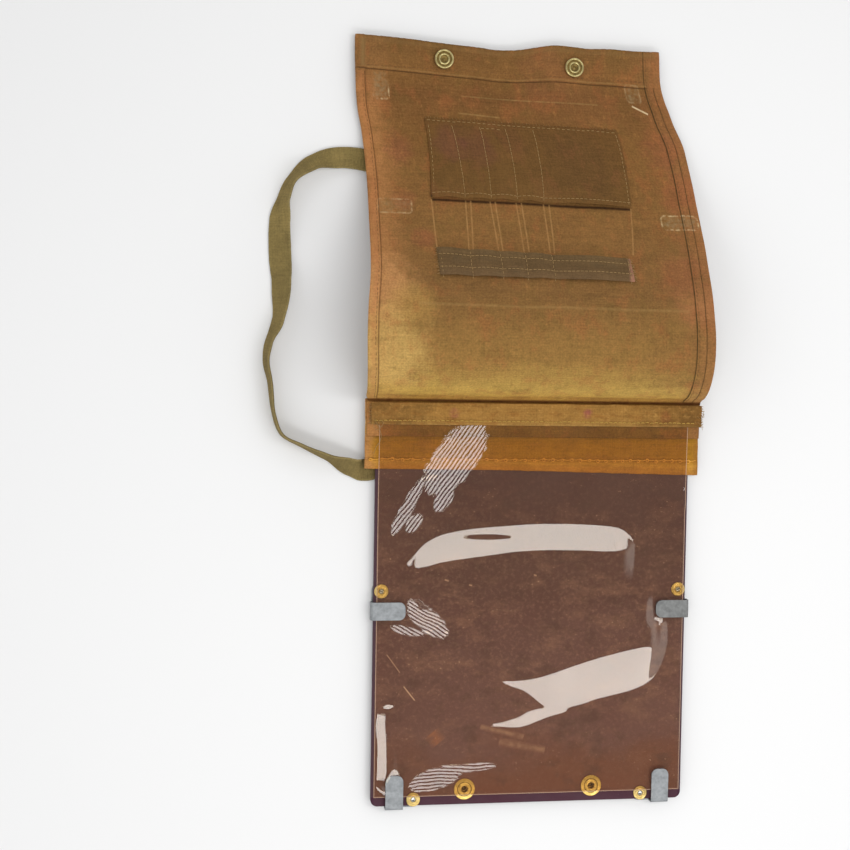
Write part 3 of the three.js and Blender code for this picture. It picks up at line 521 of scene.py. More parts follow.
def fibreBoard():
    material, tree, shader = newMaterial("laminated fibre board")
    place = add(tree, "TexCoord", out="Object")
    where = add(tree, "VectorMath", {0: place, "Scale": 1000.0}, operation="SCALE")
    onBoard = add(tree, "VectorMath", {0: where, 1: tuple(hinge / mm)}, operation="SUBTRACT")
    split = add(tree, "SeparateXYZ", {0: onBoard})
    x, y = split.node.outputs[0], split.node.outputs[1]
    cloud = grain(tree, where, 60, 45, 5.0, 4.0, 0.6)
    smear = grain(tree, where, 22, 12, 6.0, 8.0, 0.66)
    down = add(tree, "MapRange", {0: add(tree, "Math",
                                         {0: cloud, 1: 90.0, 2: add(tree, "Math", {0: y, 1: 45.0},
                                                                    operation="SUBTRACT")},
                                                                    operation="MULTIPLY_ADD"),
                                  1: -45.0, 2: -288.0})
    colour = add(tree, "ValToRGB", {0: down}, stops=[(0.0, "#4a2529"), (0.25, "#532f2e"), (0.5, "#623f42"),
                                                     (0.78, "#6b474a"), (0.9, "#6d3e30"), (1.0, "#6e3a28")])
    across = add(tree, "MapRange", {0: x, 1: -60.0, 2: -112.0, 3: 0.0, 4: 0.5})
    colour = add(tree, "Mix", {0: across, 6: colour, 7: tint("#5c3535")}, out=2, data_type="RGBA")
    worn = add(tree, "MapRange", {0: add(tree, "Math",
                                         {0: add(tree, "Math", {0: y, 1: 165.0}, operation="ADD")},
                                         operation="ABSOLUTE"), 1: 110.0, 2: 20.0, 3: 0.25, 4: 1.0})
    for pattern, low, high, code, strength in ((smear, 0.5, 0.68, "#8d6a5f", 0.55),
                                               (grain(tree, where, 3.0, 3.0, 5.0, 2.0, 0.7), 0.5, 0.72,
                                                "#97746a", 0.5)):
        share = add(tree, "MapRange", {0: pattern, 1: low, 2: high, 3: 0.0, 4: strength})
        colour = add(tree, "Mix", {0: add(tree, "Math", {0: share, 1: worn}, operation="MULTIPLY"),
                                   6: colour, 7: tint(code)}, out=2, data_type="RGBA")
    dark = add(tree, "MapRange", {0: grain(tree, where, 17, 14, 5.0, 21.0, 0.6), 1: 0.52, 2: 0.68, 3: 0.0,
                                  4: 0.5})
    colour = add(tree, "Mix", {0: dark, 6: colour, 7: tint("#492a27")}, out=2, data_type="RGBA")
    for mark in boardMarks:
        colour = lineMark(*mark)(tree, onBoard, x, y, colour)
    speck = grain(tree, where, 1.5, 1.5, 1.0, 5.0)
    dusty = add(tree, "MapRange", {0: smear, 1: 0.48, 2: 0.62, 3: 0.0, 4: 0.75})
    dust = add(tree, "MapRange", {0: speck, 1: 0.7, 2: 0.78})
    dust = add(tree, "Math", {0: dust, 1: dusty}, operation="MULTIPLY")
    colour = add(tree, "Mix", {0: dust, 6: colour, 7: tint("#c9a794")}, out=2, data_type="RGBA")
    rough = add(tree, "MapRange", {0: smear, 1: 0.3, 2: 0.7, 3: 0.4, 4: 0.62})
    for reach, width, code in ((add(tree, "Math", {0: x}, operation="ABSOLUTE"), -112.9, "#432c38"),
                               (add(tree, "Math", {0: y, 1: -1.0}, operation="MULTIPLY"), -281.2, "#3f1f30")):
        bare = add(tree, "MapRange", {0: add(tree, "Math", {0: reach, 1: width}, operation="ADD"), 1: -0.3,
                                      2: 0.5, 3: 0.0, 4: 0.9})
        colour = add(tree, "Mix", {0: bare, 6: colour, 7: tint(code)}, out=2, data_type="RGBA")
        rough = add(tree, "Math", {0: bare, 1: 0.38, 2: rough}, operation="MULTIPLY_ADD")
    tree.links.new(colour, shader.inputs["Base Color"])
    tree.links.new(rough, shader.inputs["Roughness"])
    bump = add(tree, "Bump", {"Height": speck, "Distance": 0.03 * mm, "Strength": 1.0})
    tree.links.new(bump, shader.inputs["Normal"])
    shader.inputs["IOR"].default_value = 1.5
    return material


# Celluloid sheet: clear, yellowed, mirror-smooth, with hair scratches, a dull haze and an
# edge that catches light. Cloth pressed fine ribs into it in places, which mirror the light
# in lines. Each patch: the way that its ribs face, their slope, and the spots that it is made
# of, each with x, y, half length, half width and turn.
ribPatches = [
    {"way": 145, "slope": 12.5, "spots": [(-58, -38, 32, 15, 54), (-92, -73, 23, 4.6, 62),
                                          (-66, -67, 10, 6, 58), (-87, -84, 8, 4.6, 48)]},
    {"way": 60, "slope": 14.2, "spots": [(-76.5, -153, 19, 8.2, -40), (-91, -161, 12, 3.2, -14)]},
    {"way": -90, "slope": 5.5, "spots": [(-68, -268, 20, 8, 18), (-44, -261, 19, 3.2, 4)]},
]
# Share of light mirrored straight on, at a grazing look and more in the ribs; the spacing of
# the ribs is in mm and gap is the flat share between them
sheetLook = {"mirror": 0.054, "grazing": 0.93, "ribMirror": 0.022, "ribSpacing": 2.4, "ribGap": 0.42,
             "roughness": 0.03, "waviness": 0.25}


def celluloidSheet():
    material, tree, shader = newMaterial("celluloid sheet")
    tree.nodes.remove(shader)
    uv = add(tree, "UVMap", uv_map="cloth")
    cloth = add(tree, "VectorMath", {0: uv, "Scale": 1000.0}, operation="SCALE")
    split = add(tree, "SeparateXYZ", {0: cloth})
    u, v = split.node.outputs[0], split.node.outputs[1]
    facing = add(tree, "LayerWeight", {"Blend": 0.5}, out="Facing")
    mirror = add(tree, "Math", {0: add(tree, "Math", {0: facing, 1: 5.0}, operation="POWER"),
                                1: sheetLook["grazing"], 2: sheetLook["mirror"]}, operation="MULTIPLY_ADD")
    cloud = grain(tree, cloth, 50, 40, 4.0, 6.0)
    scratch = grain(tree, cloth, 60, 0.8, 2.0, 1.0)
    hazeAndEdgeHighlight = add(tree, "MapRange", {0: cloud, 1: 0.3, 2: 0.75, 3: 0.002, 4: 0.014})
    lines = add(tree, "MapRange", {0: scratch, 1: 0.68, 2: 0.75, 3: 0.0, 4: 0.05})
    # painted highlight: a pale diffuse band along the sheet's cut edge, added to the haze and the scratches
    outward = add(tree, "Math", {0: add(tree, "Math",
                                        {0: add(tree, "Math", {0: u}, operation="ABSOLUTE"), 1: 112.45},
                                        operation="SUBTRACT"), 1: add(tree, "Math", {0: -280.45, 1: v},
                                                                      operation="SUBTRACT")},
                                                                      operation="MAXIMUM")
    rim = add(tree, "MapRange", {0: outward, 1: 0.0, 2: 0.3, 3: 0.0, 4: 0.42})
    hazeAndEdgeHighlight = add(tree, "Math", {0: add(tree, "Math", {0: hazeAndEdgeHighlight, 1: lines}, operation="ADD"), 1: rim},
               operation="ADD")
    frayed = add(tree, "Math", {0: grain(tree, cloth, 5.0, 5.0, 2.0, 4.4), 1: 0.5, 2: -0.25},
                 operation="MULTIPLY_ADD")
    height = 0.0
    for patch in ribPatches:
        inside = 0.0
        for x, y, long, wide, turn in patch["spots"]:
            moved = add(tree, "VectorMath", {0: cloth, 1: (x, y, 0)}, operation="SUBTRACT")
            laid = add(tree, "VectorRotate", {"Vector": moved, "Angle": -math.radians(turn)},
                       rotation_type="Z_AXIS")
            laid = add(tree, "VectorMath", {0: laid, 1: (1 / long, 1 / wide, 1)}, operation="MULTIPLY")
            reach = add(tree, "Math", {0: add(tree, "VectorMath", {0: laid}, operation="LENGTH", out=1),
                                       1: frayed}, operation="ADD")
            spotMask = add(tree, "MapRange", {0: reach, 1: 1.03, 2: 0.97, 3: 0.0, 4: 1.0})
            inside = add(tree, "Math", {0: spotMask, 1: inside}, operation="MAXIMUM")
        faced = add(tree, "VectorRotate", {"Vector": cloth, "Angle": math.radians(180 - patch["way"])},
                    rotation_type="Z_AXIS")
        ribs = add(tree, "TexWave", {"Vector": faced, "Scale": math.pi / 10 / sheetLook["ribSpacing"],
                                     "Distortion": 6.0, "Detail": 1.0,
                                     "Detail Scale": 0.3}, wave_type="BANDS", bands_direction="X",
                                     wave_profile="SAW", out="Fac")
        steepness = math.tan(math.radians(patch["slope"])) * sheetLook["ribSpacing"]
        crests = add(tree, "Math", {0: ribs, 1: sheetLook["ribGap"]}, operation="MAXIMUM")
        raised = add(tree, "Math", {0: crests, 1: steepness}, operation="MULTIPLY")
        height = add(tree, "Math", {0: raised, 1: inside, 2: height}, operation="MULTIPLY_ADD")
        mirror = add(tree, "Math", {0: inside, 1: sheetLook["ribMirror"], 2: mirror},
                     operation="MULTIPLY_ADD")
    waviness = add(tree, "Bump", {"Height": grain(tree, cloth, 26, 20, 1.0, 3.0),
                                  "Distance": sheetLook["waviness"] * mm, "Strength": 1.0})
    bump = add(tree, "Bump", {"Height": height, "Distance": 1.0 * mm, "Strength": 1.0, "Normal": waviness})
    clear = add(tree, "BsdfTransparent", {"Color": tint("#fbf5ea")})
    gloss = add(tree, "BsdfGlossy", {"Color": (1, 1, 1, 1), "Roughness": sheetLook["roughness"],
                                     "Normal": bump})
    dull = add(tree, "BsdfDiffuse", {"Color": tint("#d9b9a0")})
    body = add(tree, "MixShader", {0: hazeAndEdgeHighlight, 1: clear, 2: dull})
    whole = add(tree, "MixShader", {0: mirror, 1: body, 2: gloss})
    tree.links.new(whole, tree.nodes["Material Output"].inputs[0])
    return material


# Metals: plated or bare, dulled by handling. Fine brushing, darker film in blotches.
def wornMetal(name, bright, dull, roughness, film, scale=1.0):
    material, tree, shader = newMaterial(name)
    place = add(tree, "TexCoord", out="Object")
    where = add(tree, "VectorMath", {0: place, "Scale": 1000.0}, operation="SCALE")
    spots = grain(tree, where, 2.6 * scale, 2.6 * scale, 4.0, 3.0, 0.65)
    brush = grain(tree, where, 5.0, 0.35, 2.0, 5.0)
    mask = add(tree, "MapRange", {0: spots, 1: 0.35, 2: 0.68, 3: 0.0, 4: film})
    colour = add(tree, "Mix", {0: mask, 6: tint(bright), 7: tint(dull)}, out=2, data_type="RGBA")
    tree.links.new(colour, shader.inputs["Base Color"])
    rough = add(tree, "Math", {0: spots, 1: 0.3, 2: roughness - 0.15}, operation="MULTIPLY_ADD")
    tree.links.new(rough, shader.inputs["Roughness"])
    height = add(tree, "Math", {0: brush, 1: 0.4, 2: spots}, operation="MULTIPLY_ADD")
    bump = add(tree, "Bump", {"Height": height, "Distance": 0.03 * mm, "Strength": 1.0})
    tree.links.new(bump, shader.inputs["Normal"])
    shader.inputs["Metallic"].default_value = 1.0
    return material


# Zinc plate is grey, soft-lit and blotched; brass is yellow where rubbed. The dark brass paints shade in the
# snaps' hollows
zincPlate = wornMetal("zinc plate, dull", "#9fa2a4", "#787b7d", 0.55, 0.6, scale=1.6)
# painted shade: a darker copy of the zinc plate, used for the right side clip
zincShaded = wornMetal("zinc plate, darker for painted shade", "#8b8c8b", "#636463", 0.55, 0.6, scale=1.6)
agedBrass = wornMetal("brass, tarnished", "#e3c070", "#94702f", 0.36, 0.6)
paleBrass = wornMetal("brass, pale", "#cfc089", "#857343", 0.34, 0.7)
rivetBrass = wornMetal("brass rivet, tarnished", "#dcc07c", "#a58a4a", 0.38, 0.7)
hollowShadeBrass = wornMetal("brass, dark as painted shade in hollows", "#8f7846", "#4f4026", 0.5, 0.7)
eyeletSteel = wornMetal("nickel eyelet", "#c9c8c4", "#8b8984", 0.25, 0.5)


# Black stoving enamel on the caps: glossy, with fine pitting
def stoveEnamel():
    material, tree, shader = newMaterial("black stoving enamel")
    place = add(tree, "TexCoord", out="Object")
    pits = add(tree, "TexNoise", {"Vector": place, "Scale": 700.0, "Detail": 3.0})
    wear = add(tree, "MapRange", {0: pits, 1: 0.62, 2: 0.72, 3: 0.0, 4: 0.6})
    colour = add(tree, "Mix", {0: wear, 6: tint("#1d1c1a"), 7: tint("#5d5340")}, out=2, data_type="RGBA")
    tree.links.new(colour, shader.inputs["Base Color"])
    bump = add(tree, "Bump", {"Height": pits, "Distance": 0.05 * mm, "Strength": 1.0})
    tree.links.new(bump, shader.inputs["Normal"])
    shader.inputs["Roughness"].default_value = 0.35
    return material


blackEnamel = stoveEnamel()
print("materials made")


# Camera at the photograph's angle, fitted to the board's corners, rivets and snaps
view = {"place": (-230.0, 29.2, 997.9), "turn": (-2.63, -8.56, 0.95), "lens": 36 * 1413.2 / 850}
camera = bpy.data.objects.new("camera", bpy.data.cameras.new("camera"))
bpy.context.scene.collection.objects.link(camera)
camera.location = spot(*view["place"])
camera.rotation_euler = Euler([math.radians(angle) for angle in view["turn"]], "XYZ")
camera.data.lens = view["lens"]
camera.data.sensor_width = 36
camera.data.clip_start = 0.01
bpy.context.scene.camera = camera
bpy.context.scene.view_settings.view_transform = "Standard"

# Bright walls and a dark ceiling, as in a photographer's room: the sheet mirrors the ceiling
studio = {"walls": 1.0, "ceiling": 0.1, "wallsEnd": 0.72, "ceilingStarts": 0.84, "radiance": 4.8, "boxes": [
    {"name": "softbox head", "place": (175, 110, 1000), "size": (1050, 280)},
    {"name": "softbox foot", "place": (300, -770, 1000), "size": (900, 270)},
    {"name": "softbox side", "place": (-500, -500, 1000), "size": (400, 200)},
]}
for box in studio["boxes"]:
    light = bpy.data.lights.new(box["name"], "AREA")
    light.shape = "RECTANGLE"
    light.size, light.size_y = (side * mm for side in box["size"])
    light.energy = studio["radiance"] * math.pi * light.size * light.size_y
    lamp = bpy.data.objects.new(box["name"], light)
    lamp.location = spot(*box["place"])
    lamp.visible_camera = False
    bpy.context.scene.collection.objects.link(lamp)
world = bpy.data.worlds.new("pale room")
world.use_nodes = True
world.node_tree.nodes["Background"].inputs[0].default_value = (1, 1, 1, 1)
worldTree = world.node_tree
upward = add(worldTree, "SeparateXYZ", {0: add(worldTree, "TexCoord", out="Generated")}, out=2)
room = add(worldTree, "MapRange", {0: upward, 1: studio["wallsEnd"], 2: studio["ceilingStarts"],
                                   3: studio["walls"], 4: studio["ceiling"]})
worldTree.links.new(room, worldTree.nodes["Background"].inputs[1])
bpy.context.scene.world = world

floorPaper, floorShader = newMaterial("white paper floor")[::2]
floorShader.inputs["Base Color"].default_value = (0.82, 0.82, 0.82, 1)
floorShader.inputs["Roughness"].default_value = 0.9
floorMesh = bpy.data.meshes.new("floor")
ground = {"half": 4, "level": -0.0002}
corners = [(x * ground["half"], y * ground["half"], ground["level"]) for x,
           y in ((-1, -1), (1, -1), (1, 1), (-1, 1))]
floorMesh.from_pydata(corners, [], [(0, 1, 2, 3)])
floorMesh.materials.append(floorPaper)
floor = bpy.data.objects.new("floor", floorMesh)
bpy.context.scene.collection.objects.link(floor)
print("camera and light set")


# Flap: it rises from the hinge in an arch and rests on its two snap caps
flap = {
    "width": 243, "length": 300, "seam": 25, "crease": 3, "creaseRun": 4, "thickness": 1.2,
    "seamLow": 8.2, "seat": 0.3,
    "capHeight": 3.6, "snapAlong": 286, "snapSpacing": 94,
    # share of the length, slope of the left and right edge in degrees, sideways shift, width
    "course": [
        (0.0, 30, 34, 0.0, 1.0), (0.03, 78, 80, -0.004, 1.0), (0.1, 68, 71, -0.016, 0.99),
        (0.17, 44, 47, -0.026, 0.985), (0.24, 4, 6, -0.031, 0.985), (0.31, -20, -21, -0.029, 0.985),
        (0.42, -28, -29, -0.02, 0.98), (0.55, -27, -28, -0.018, 0.98), (0.67, -19, -20, -0.026, 0.97),
        (0.77, -8, -8, -0.05, 0.95), (0.84, 5, 5, -0.08, 0.925), (0.92, -2, -2, -0.095, 0.91),
        (1.0, 2, 2, -0.1, 0.905),
    ],
    # how far the right and the left edge stray to the right, by place along the cloth
    "sway": [(0, 0, 0), (60, 0, 0), (150, -0.7, 0), (185, -1.4, 0), (204, -0.2, 0), (220, 1.5, 0.3),
             (240, 4.3, 0.7),
             (249, 4.3, 0.9), (258, 3.3, 1.0), (266, 1.4, 1.1), (276, 0, 1.2), (300, 0, 1.3)],
    # how far the free end is drawn in, by place across
    "dip": [(-121.5, 0.5), (-99, 0.8), (-80, 1.4), (-60, 2.6), (-40, 3.6), (-25, 4.2), (-12, 5.2), (-3, 5.1),
            (7, 4.3),
            (16, 2.8), (26, 0.9), (36, -0.7), (50, -0.6), (65, 0.1), (80, -0.7), (103, -0.4), (121.5, -1.0)],
}
halfFlap = flap["width"] / 2


def edgeCourse(column):
    steps, start = 490, -flap["seam"]
    step = (flap["length"] + 6 - start) / steps
    course = [[start, flap["crease"] - flap["seam"], flap["seamLow"] + flap["thickness"] / 2]]
    for i in range(steps):
        s = start + (i + 0.5) * step
        rising = flap["course"][0][column] * ease(-flap["creaseRun"], 0, s)
        free = readTable(flap["course"], column, min(max(s, 0) / flap["length"], 1.0))
        slope = math.radians(rising if s < 0 else free)
        last = course[-1]
        course.append([last[0] + step, last[1] + step * math.cos(slope), last[2] + step * math.sin(slope)])
    capped = next(point for point in course if point[0] >= flap["snapAlong"])
    landing = flap["capHeight"] + flap["seat"] + flap["thickness"] / 2 - capped[2]
    for point in course:
        point[2] += landing * ease(0, flap["snapAlong"], point[0])

    def at(s):
        place = min(max((s - start) / step, 0), steps - 1e-6)
        i = int(place)
        t = place - i
        return blend(course[i][1], course[i + 1][1], t), blend(course[i][2], course[i + 1][2], t)
    return at


leftEdge, rightEdge = edgeCourse(1), edgeCourse(2)
flapRows = {}


def flapRow(s):
    key = round(s, 3)
    if key not in flapRows:
        share = min(max(s, 0) / flap["length"], 1.0)
        half = halfFlap * readTable(flap["course"], 4, share)
        shift = flap["width"] * readTable(flap["course"], 3, share)
        right, left = (readTable(flap["sway"], column, min(max(s, 0), flap["length"])) for column in (1, 2))
        flapRows[key] = (half, shift) + leftEdge(s) + rightEdge(s) + (left, right)
    return flapRows[key]


# Middle of the flap's cloth at x across and s along the cloth from the crease
def flapMiddle(x, s):
    half, shift, leftY, leftZ, rightY, rightZ, left, right = flapRow(s)
    a = x / halfFlap
    w = (a + 1) / 2
    stray = right * ease(0.55, 1, a) + left * ease(-0.5, -1, a)
    return Vector((a * half + shift + stray, blend(leftY, rightY, w), blend(leftZ, rightZ, w)))


def flapNormal(x, s):
    across = flapMiddle(x + 1.2, s) - flapMiddle(x - 1.2, s)
    along = flapMiddle(x, s + 0.5) - flapMiddle(x, s - 0.5)
    return across.cross(along).normalized()


# Slack of the real cloth: long soft waves, and puckers along its sewn edges
def flapSlack(x, s):
    free = ease(4, 40, s) * (1 - 0.8 * ease(255, 280, s))
    wave = 1.5 * noise.noise(Vector((x / 62, s / 55, 1.7))) + 0.7 * noise.noise(Vector((x / 24, s / 27, 8.1)))
    pucker = 0.0
    for line, seed in ((-115, 2.0), (112, 6.0)):
        pucker += 0.3 * math.exp(-((x - line) / 6) ** 2) * noise.noise(Vector((seed, s / 3.0, 4.0)))
    return wave * free + pucker * ease(4, 14, s)


def onFlap(x, s, height):
    place = flapMiddle(x, s) + flapNormal(x, s) * (height + flapSlack(x, s))
    return spot(*place)


def hemRise(x, s):
    left = ease(-114.5, -115.5, x)
    right = ease(107.6, 108.6, x)
    end = ease(0, 1.6, s - 275.2 + 0.0115 * x)
    return flap["thickness"] * max(left, 0.7 * right, 0.6 * end) * ease(2, 6, s)


def flapTop(x, s):
    groove = 0.4 * math.exp(-((x - 115.4) / 0.6) ** 2) * ease(2, 6, s)
    groove += 0.15 * math.exp(-((s - 279.0) / 0.8) ** 2)
    return flap["thickness"] / 2 + hemRise(x, s) - groove


def endShift(x, s):
    ragged = 0.25 * noise.noise(Vector((x / 3.0, 7.0, 2.0))) * ease(296, 300, s)
    return s + ragged - readTable(flap["dip"], 1, min(max(x, -halfFlap), halfFlap)) * ease(250, 300, s)


flapXs = sorted(set(even(-halfFlap, halfFlap, 2.0) + [-115.5, -115.0, -114.5, 107.6, 108.1, 108.6, 114.7,
                                                      115.4, 116.1]))
flapSs = sorted(set(even(-25, -4, 2.5) + even(-4, 12, 1.0) + even(12, 300, 2.0) + [278.6,
                                                                                   279.4] + even(272.8,
                                                                                                 278.0, 0.4)))
flapPiece = addSheet(
    "flap_cloth", flapXs, flapSs,
    lambda x, s: onFlap(x, endShift(x, s), flapTop(x, s)),
    lambda x, s: onFlap(x, endShift(x, s), -flap["thickness"] / 2),
    flapDuck, replaces=["flap"], slot="flap_canvas")
print("flap made")


# Pencil pocket and keeper band: slots are shares of the width, lean is each seam's slant
pocket = {"near": 185, "far": 242, "width": 147.5, "centre": -0.5, "skew": 5.7, "cloth": 1.0, "lift": 2.2,
          "slots": [0.149, 0.136, 0.132, 0.139, 0.444], "lean": [0, -2.7, -1.6, -1.3, -0.3, 0],
          "farShift": (2.5, 1.0)}
band = {"near": 122.5, "far": 144.2, "width": 138.5, "centre": -5.5, "skew": -2.0, "cloth": 1.0, "lift": 1.3,
        "slots": [0.1665, 0.1553, 0.1298, 0.1369, 0.4115], "lean": [0, 0, 0, 0, 0, 0],
        "farShift": (0.0, -3.7)}


# Number of the slot at a place across, and how far along the slot that is
def slotAt(piece, across):
    start = 0.0
    for number, slot in enumerate(piece["slots"]):
        wide = slot * piece["width"]
        if across <= start + wide + 1e-6:
            return number, (across - start) / wide
        start += wide
    return len(piece["slots"]) - 1, 1.0


def loopX(piece, across, s):
    share = (s - piece["near"]) / (piece["far"] - piece["near"])
    number, part = slotAt(piece, across)
    lean = blend(piece["lean"][number], piece["lean"][number + 1], part)
    return across - piece["width"] / 2 + piece["centre"] + (piece["skew"] + lean * 2) * (share - 0.5)


# The far edge was cut a little crooked: farShift is its shift at the left and the right end
def crooked(piece, across, s):
    return s + blend(*piece["farShift"], across / piece["width"]) * ease(piece["far"] - 20, piece["far"], s)


def loopRise(piece, across):
    part = slotAt(piece, across)[1]
    return math.sin(math.pi * part)


def pocketHeight(across, s):
    share = (s - pocket["near"]) / (pocket["far"] - pocket["near"])
    mouth = pocket["lift"] * max(1 - share, 0.0) ** 1.5
    sag = 0.35 * noise.noise(Vector((across / 12, s / 14, 3.3)))
    return 0.9 + max(loopRise(pocket, across), 0) * (mouth + sag)


def bandHeight(across, s):
    sag = 0.2 * noise.noise(Vector((across / 9, s / 9, 5.3)))
    return 0.9 + max(loopRise(band, across), 0) * (band["lift"] + sag)


def slotLines(piece):
    places, start = [0.0], 0.0
    for slot in piece["slots"]:
        start += slot * piece["width"]
        places.append(start)
    return places


def loopedSheet(name, piece, height, material, node, slot):
    across = sorted(set(even(0, piece["width"], 1.8) + slotLines(piece)))
    along = even(piece["near"], piece["far"], 1.8)
    ragged = lambda s, c: 0.35 * noise.noise(Vector((s / 2.0, c, 1.0)))
    def place(c, s, h):
        x = loopX(piece, c, s)
        edge = ragged(s, 3.0) if c in (0.0, across[-1]) else 0.0
        end = ragged(c, 9.0) if s in (along[0], along[-1]) else 0.0
        return onFlap(x + edge, crooked(piece, c, s) + end, height(c, s) + h)
    return addSheet(name, across, along, lambda c, s: place(c, s, piece["cloth"]), lambda c,
                    s: place(c, s, 0.0),
                    material, onCloth=lambda c, s: (loopX(piece, c, s) * mm, s * mm), replaces=[node],
                    slot=slot)


loopedSheet("pocket_cloth", pocket, pocketHeight, pocketDuck, "pencil_pocket", "pocket_canvas")
loopedSheet("band_cloth", band, bandHeight, bandDuck, "pocket_keeper_band", "band_canvas")
print("pocket and band made")


# Sewing on the flap
stitch = {"pitch": 3.3, "length": 2.3, "thread": 0.2}
dice = random.Random(7)


# One row of stitches between two places on the flap; rise is the cloth's height there
def flapStitches(x0, s0, x1, s1, rise, pitch=stitch["pitch"], bow=0.0, wobble=0.25, length=None):
    total = math.hypot(x1 - x0, s1 - s0)
    count = max(1, round(total / pitch))
    share = (length or stitch["length"]) / pitch
    paths = []
    for i in range(count):
        drift = dice.uniform(-wobble, wobble)
        path = []
        for part, lift in ((0.0, -0.25), (0.16, 0.12), (0.5, 0.2), (0.84, 0.12), (1.0, -0.25)):
            t = (i + (1 - share) / 2 + part * share) / count
            x = blend(x0, x1, t) + bow * math.sin(math.pi * t)
            s = blend(s0, s1, t)
            x, s = (x, s + drift) if abs(x1 - x0) > abs(s1 - s0) else (x + drift, s)
            path.append(onFlap(x, s, (rise(x, s) if callable(rise) else rise) + lift))
        paths.append(path)
    return paths


# One row of stitches across all the loops of the pocket or the band
def loopStitches(piece, s, pitch, height):
    paths = []
    for low, high in zip(slotLines(piece), slotLines(piece)[1:]):
        count = max(1, round((high - low) / pitch))
        for k in range(count):
            path = []
            for part, lift in ((0.1, -0.25), (0.25, 0.2), (0.5, 0.28), (0.75, 0.2), (0.9, -0.25)):
                across = blend(low, high, (k + part) / count)
                y = crooked(piece, across, s)
                path.append(onFlap(loopX(piece, across, s), y, height(across, s) + piece["cloth"] + lift))
            paths.append(path)
    return paths


pocketPaths = []
for across in slotLines(pocket)[1:-1]:
    pocketPaths += flapStitches(loopX(pocket, across, 240), 240.5, loopX(pocket, across, 187), 186, 1.9,
                                pitch=2.9, length=2.7,
                                wobble=0.1)
for end in (1.6, pocket["width"] - 1.6):
    pocketPaths += flapStitches(loopX(pocket, end, 240), 240.5, loopX(pocket, end, 187), 186, 2.0,
                                wobble=0.15)
for low, high, s in ((0.8, 146.7, 240.8), (42, 58, 237.6)):
    pocketPaths += flapStitches(loopX(pocket, low, s), crooked(pocket, low, s), loopX(pocket, high, s),
                                crooked(pocket, high, s), 2.0,
                                pitch=3.8)
pocketPaths += loopStitches(pocket, 188.2, stitch["pitch"], pocketHeight)
addYarns("pocket_stitches", pocketPaths, stitch["thread"] * mm, paleThread)

bandPaths = loopStitches(band, 128.6, 3.0, bandHeight) + loopStitches(band, 138.8, 3.0, bandHeight)
for across in [2.0] + slotLines(band)[1:-1] + [band["width"] - 2.0]:
    far = crooked(band, across, band["far"])
    bandPaths += flapStitches(loopX(band, across, 142), far + 2.0, loopX(band, across, 124), 120.5,
                              lambda x, s: 1.95 if band["near"] < s < far else 0.6)
addYarns("band_stitches", bandPaths, stitch["thread"] * mm, paleThread)

hemPaths = flapStitches(-116.9, 6, -116.9, 273, flapTop, pitch=3.4)
hemPaths += flapStitches(115.4, 6, 115.4, 273, flapTop, pitch=3.4)
hemPaths += flapStitches(110.2, 6, 110.2, 296, flapTop, pitch=3.4)
hemPaths += flapStitches(-114, 279.0, 107, 279.0, flapTop, pitch=3.6)
addYarns("hem_stitches", hemPaths, 0.15 * mm, sewingThread("cotton thread, brown", "#7a5832"))

# Bare yarns at the cut ends of the keeper band and the pocket
frays = []
for s in even(band["near"] + 0.8, band["far"] - 0.8, 1.1):
    for across, way in ((0.0, -1), (band["width"], 1)):
        x, reach = loopX(band, across, s), dice.uniform(0.8, 3.0) * way
        drift, y = dice.uniform(-0.8, 0.8), crooked(band, across, s)
        frays.append([onFlap(x - way * 0.6, y, 1.5), onFlap(x + reach * 0.5, y + drift * 0.4, 1.4),
                      onFlap(x + reach, y + drift, 0.9)])
for across in even(1.0, pocket["width"] - 1.0, 2.6):
    reach = dice.uniform(0.5, 1.6)
    x, y = loopX(pocket, across, 242), crooked(pocket, across, 242)
    frays.append([onFlap(x, y - 0.4, 1.6), onFlap(x + dice.uniform(-0.5, 0.5), y + 0.2 + reach, 0.85)])
addYarns("flap_frays", frays, 0.17 * mm, duckThread, sides=4)
print("flap sewn")


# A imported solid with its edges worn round
def dressNode(name, node, material, bevel, body="case"):
    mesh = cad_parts[node].data.copy()
    shaped = bmesh.new()
    shaped.from_mesh(mesh)
    bmesh.ops.remove_doubles(shaped, verts=shaped.verts, dist=1e-6)
    bmesh.ops.dissolve_limit(shaped, angle_limit=math.radians(1), verts=shaped.verts, edges=shaped.edges)
    shaped.to_mesh(mesh)
    shaped.free()
    mesh.materials.clear()
    mesh.materials.append(material)
    piece = bpy.data.objects.new(name, mesh)
    bpy.context.scene.collection.objects.link(piece)
    rounding = piece.modifiers.new("worn edge", "BEVEL")
    rounding.width, rounding.segments = bevel * mm, 2
    rounding.limit_method, rounding.angle_limit = "ANGLE", math.radians(40)
    mesh.shade_smooth()
    mesh.set_sharp_from_angle(angle=math.radians(35))
    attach(piece, body)
    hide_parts(node)
    return piece


boardPiece = dressNode("board_plate", "map_board", fibreBoard(), 0.35)

sleeve = {"width": 243, "front": 48, "back": 40, "top": 4.2, "low": 1.9, "high": 7.9, "thickness": 1.2,
          "stitchY": -38.6,
          "drop": [(-121.5, 45.2), (-60, 45.4), (0, 46.2), (60, 47.6), (121.5, 48.8)]}
sleeveMiddle = (sleeve["low"] + sleeve["high"]) / 2
sleeveTurn = (sleeve["high"] - sleeve["low"]) / 2 - sleeve["thickness"] / 2
sleeveBend = sleeve["top"] - (sleeve["high"] - sleeve["low"]) / 2
sleeveFrontRun = sleeve["front"] + sleeveBend
sleeveLength = sleeveFrontRun + math.pi * sleeveTurn + sleeveBend + sleeve["back"]


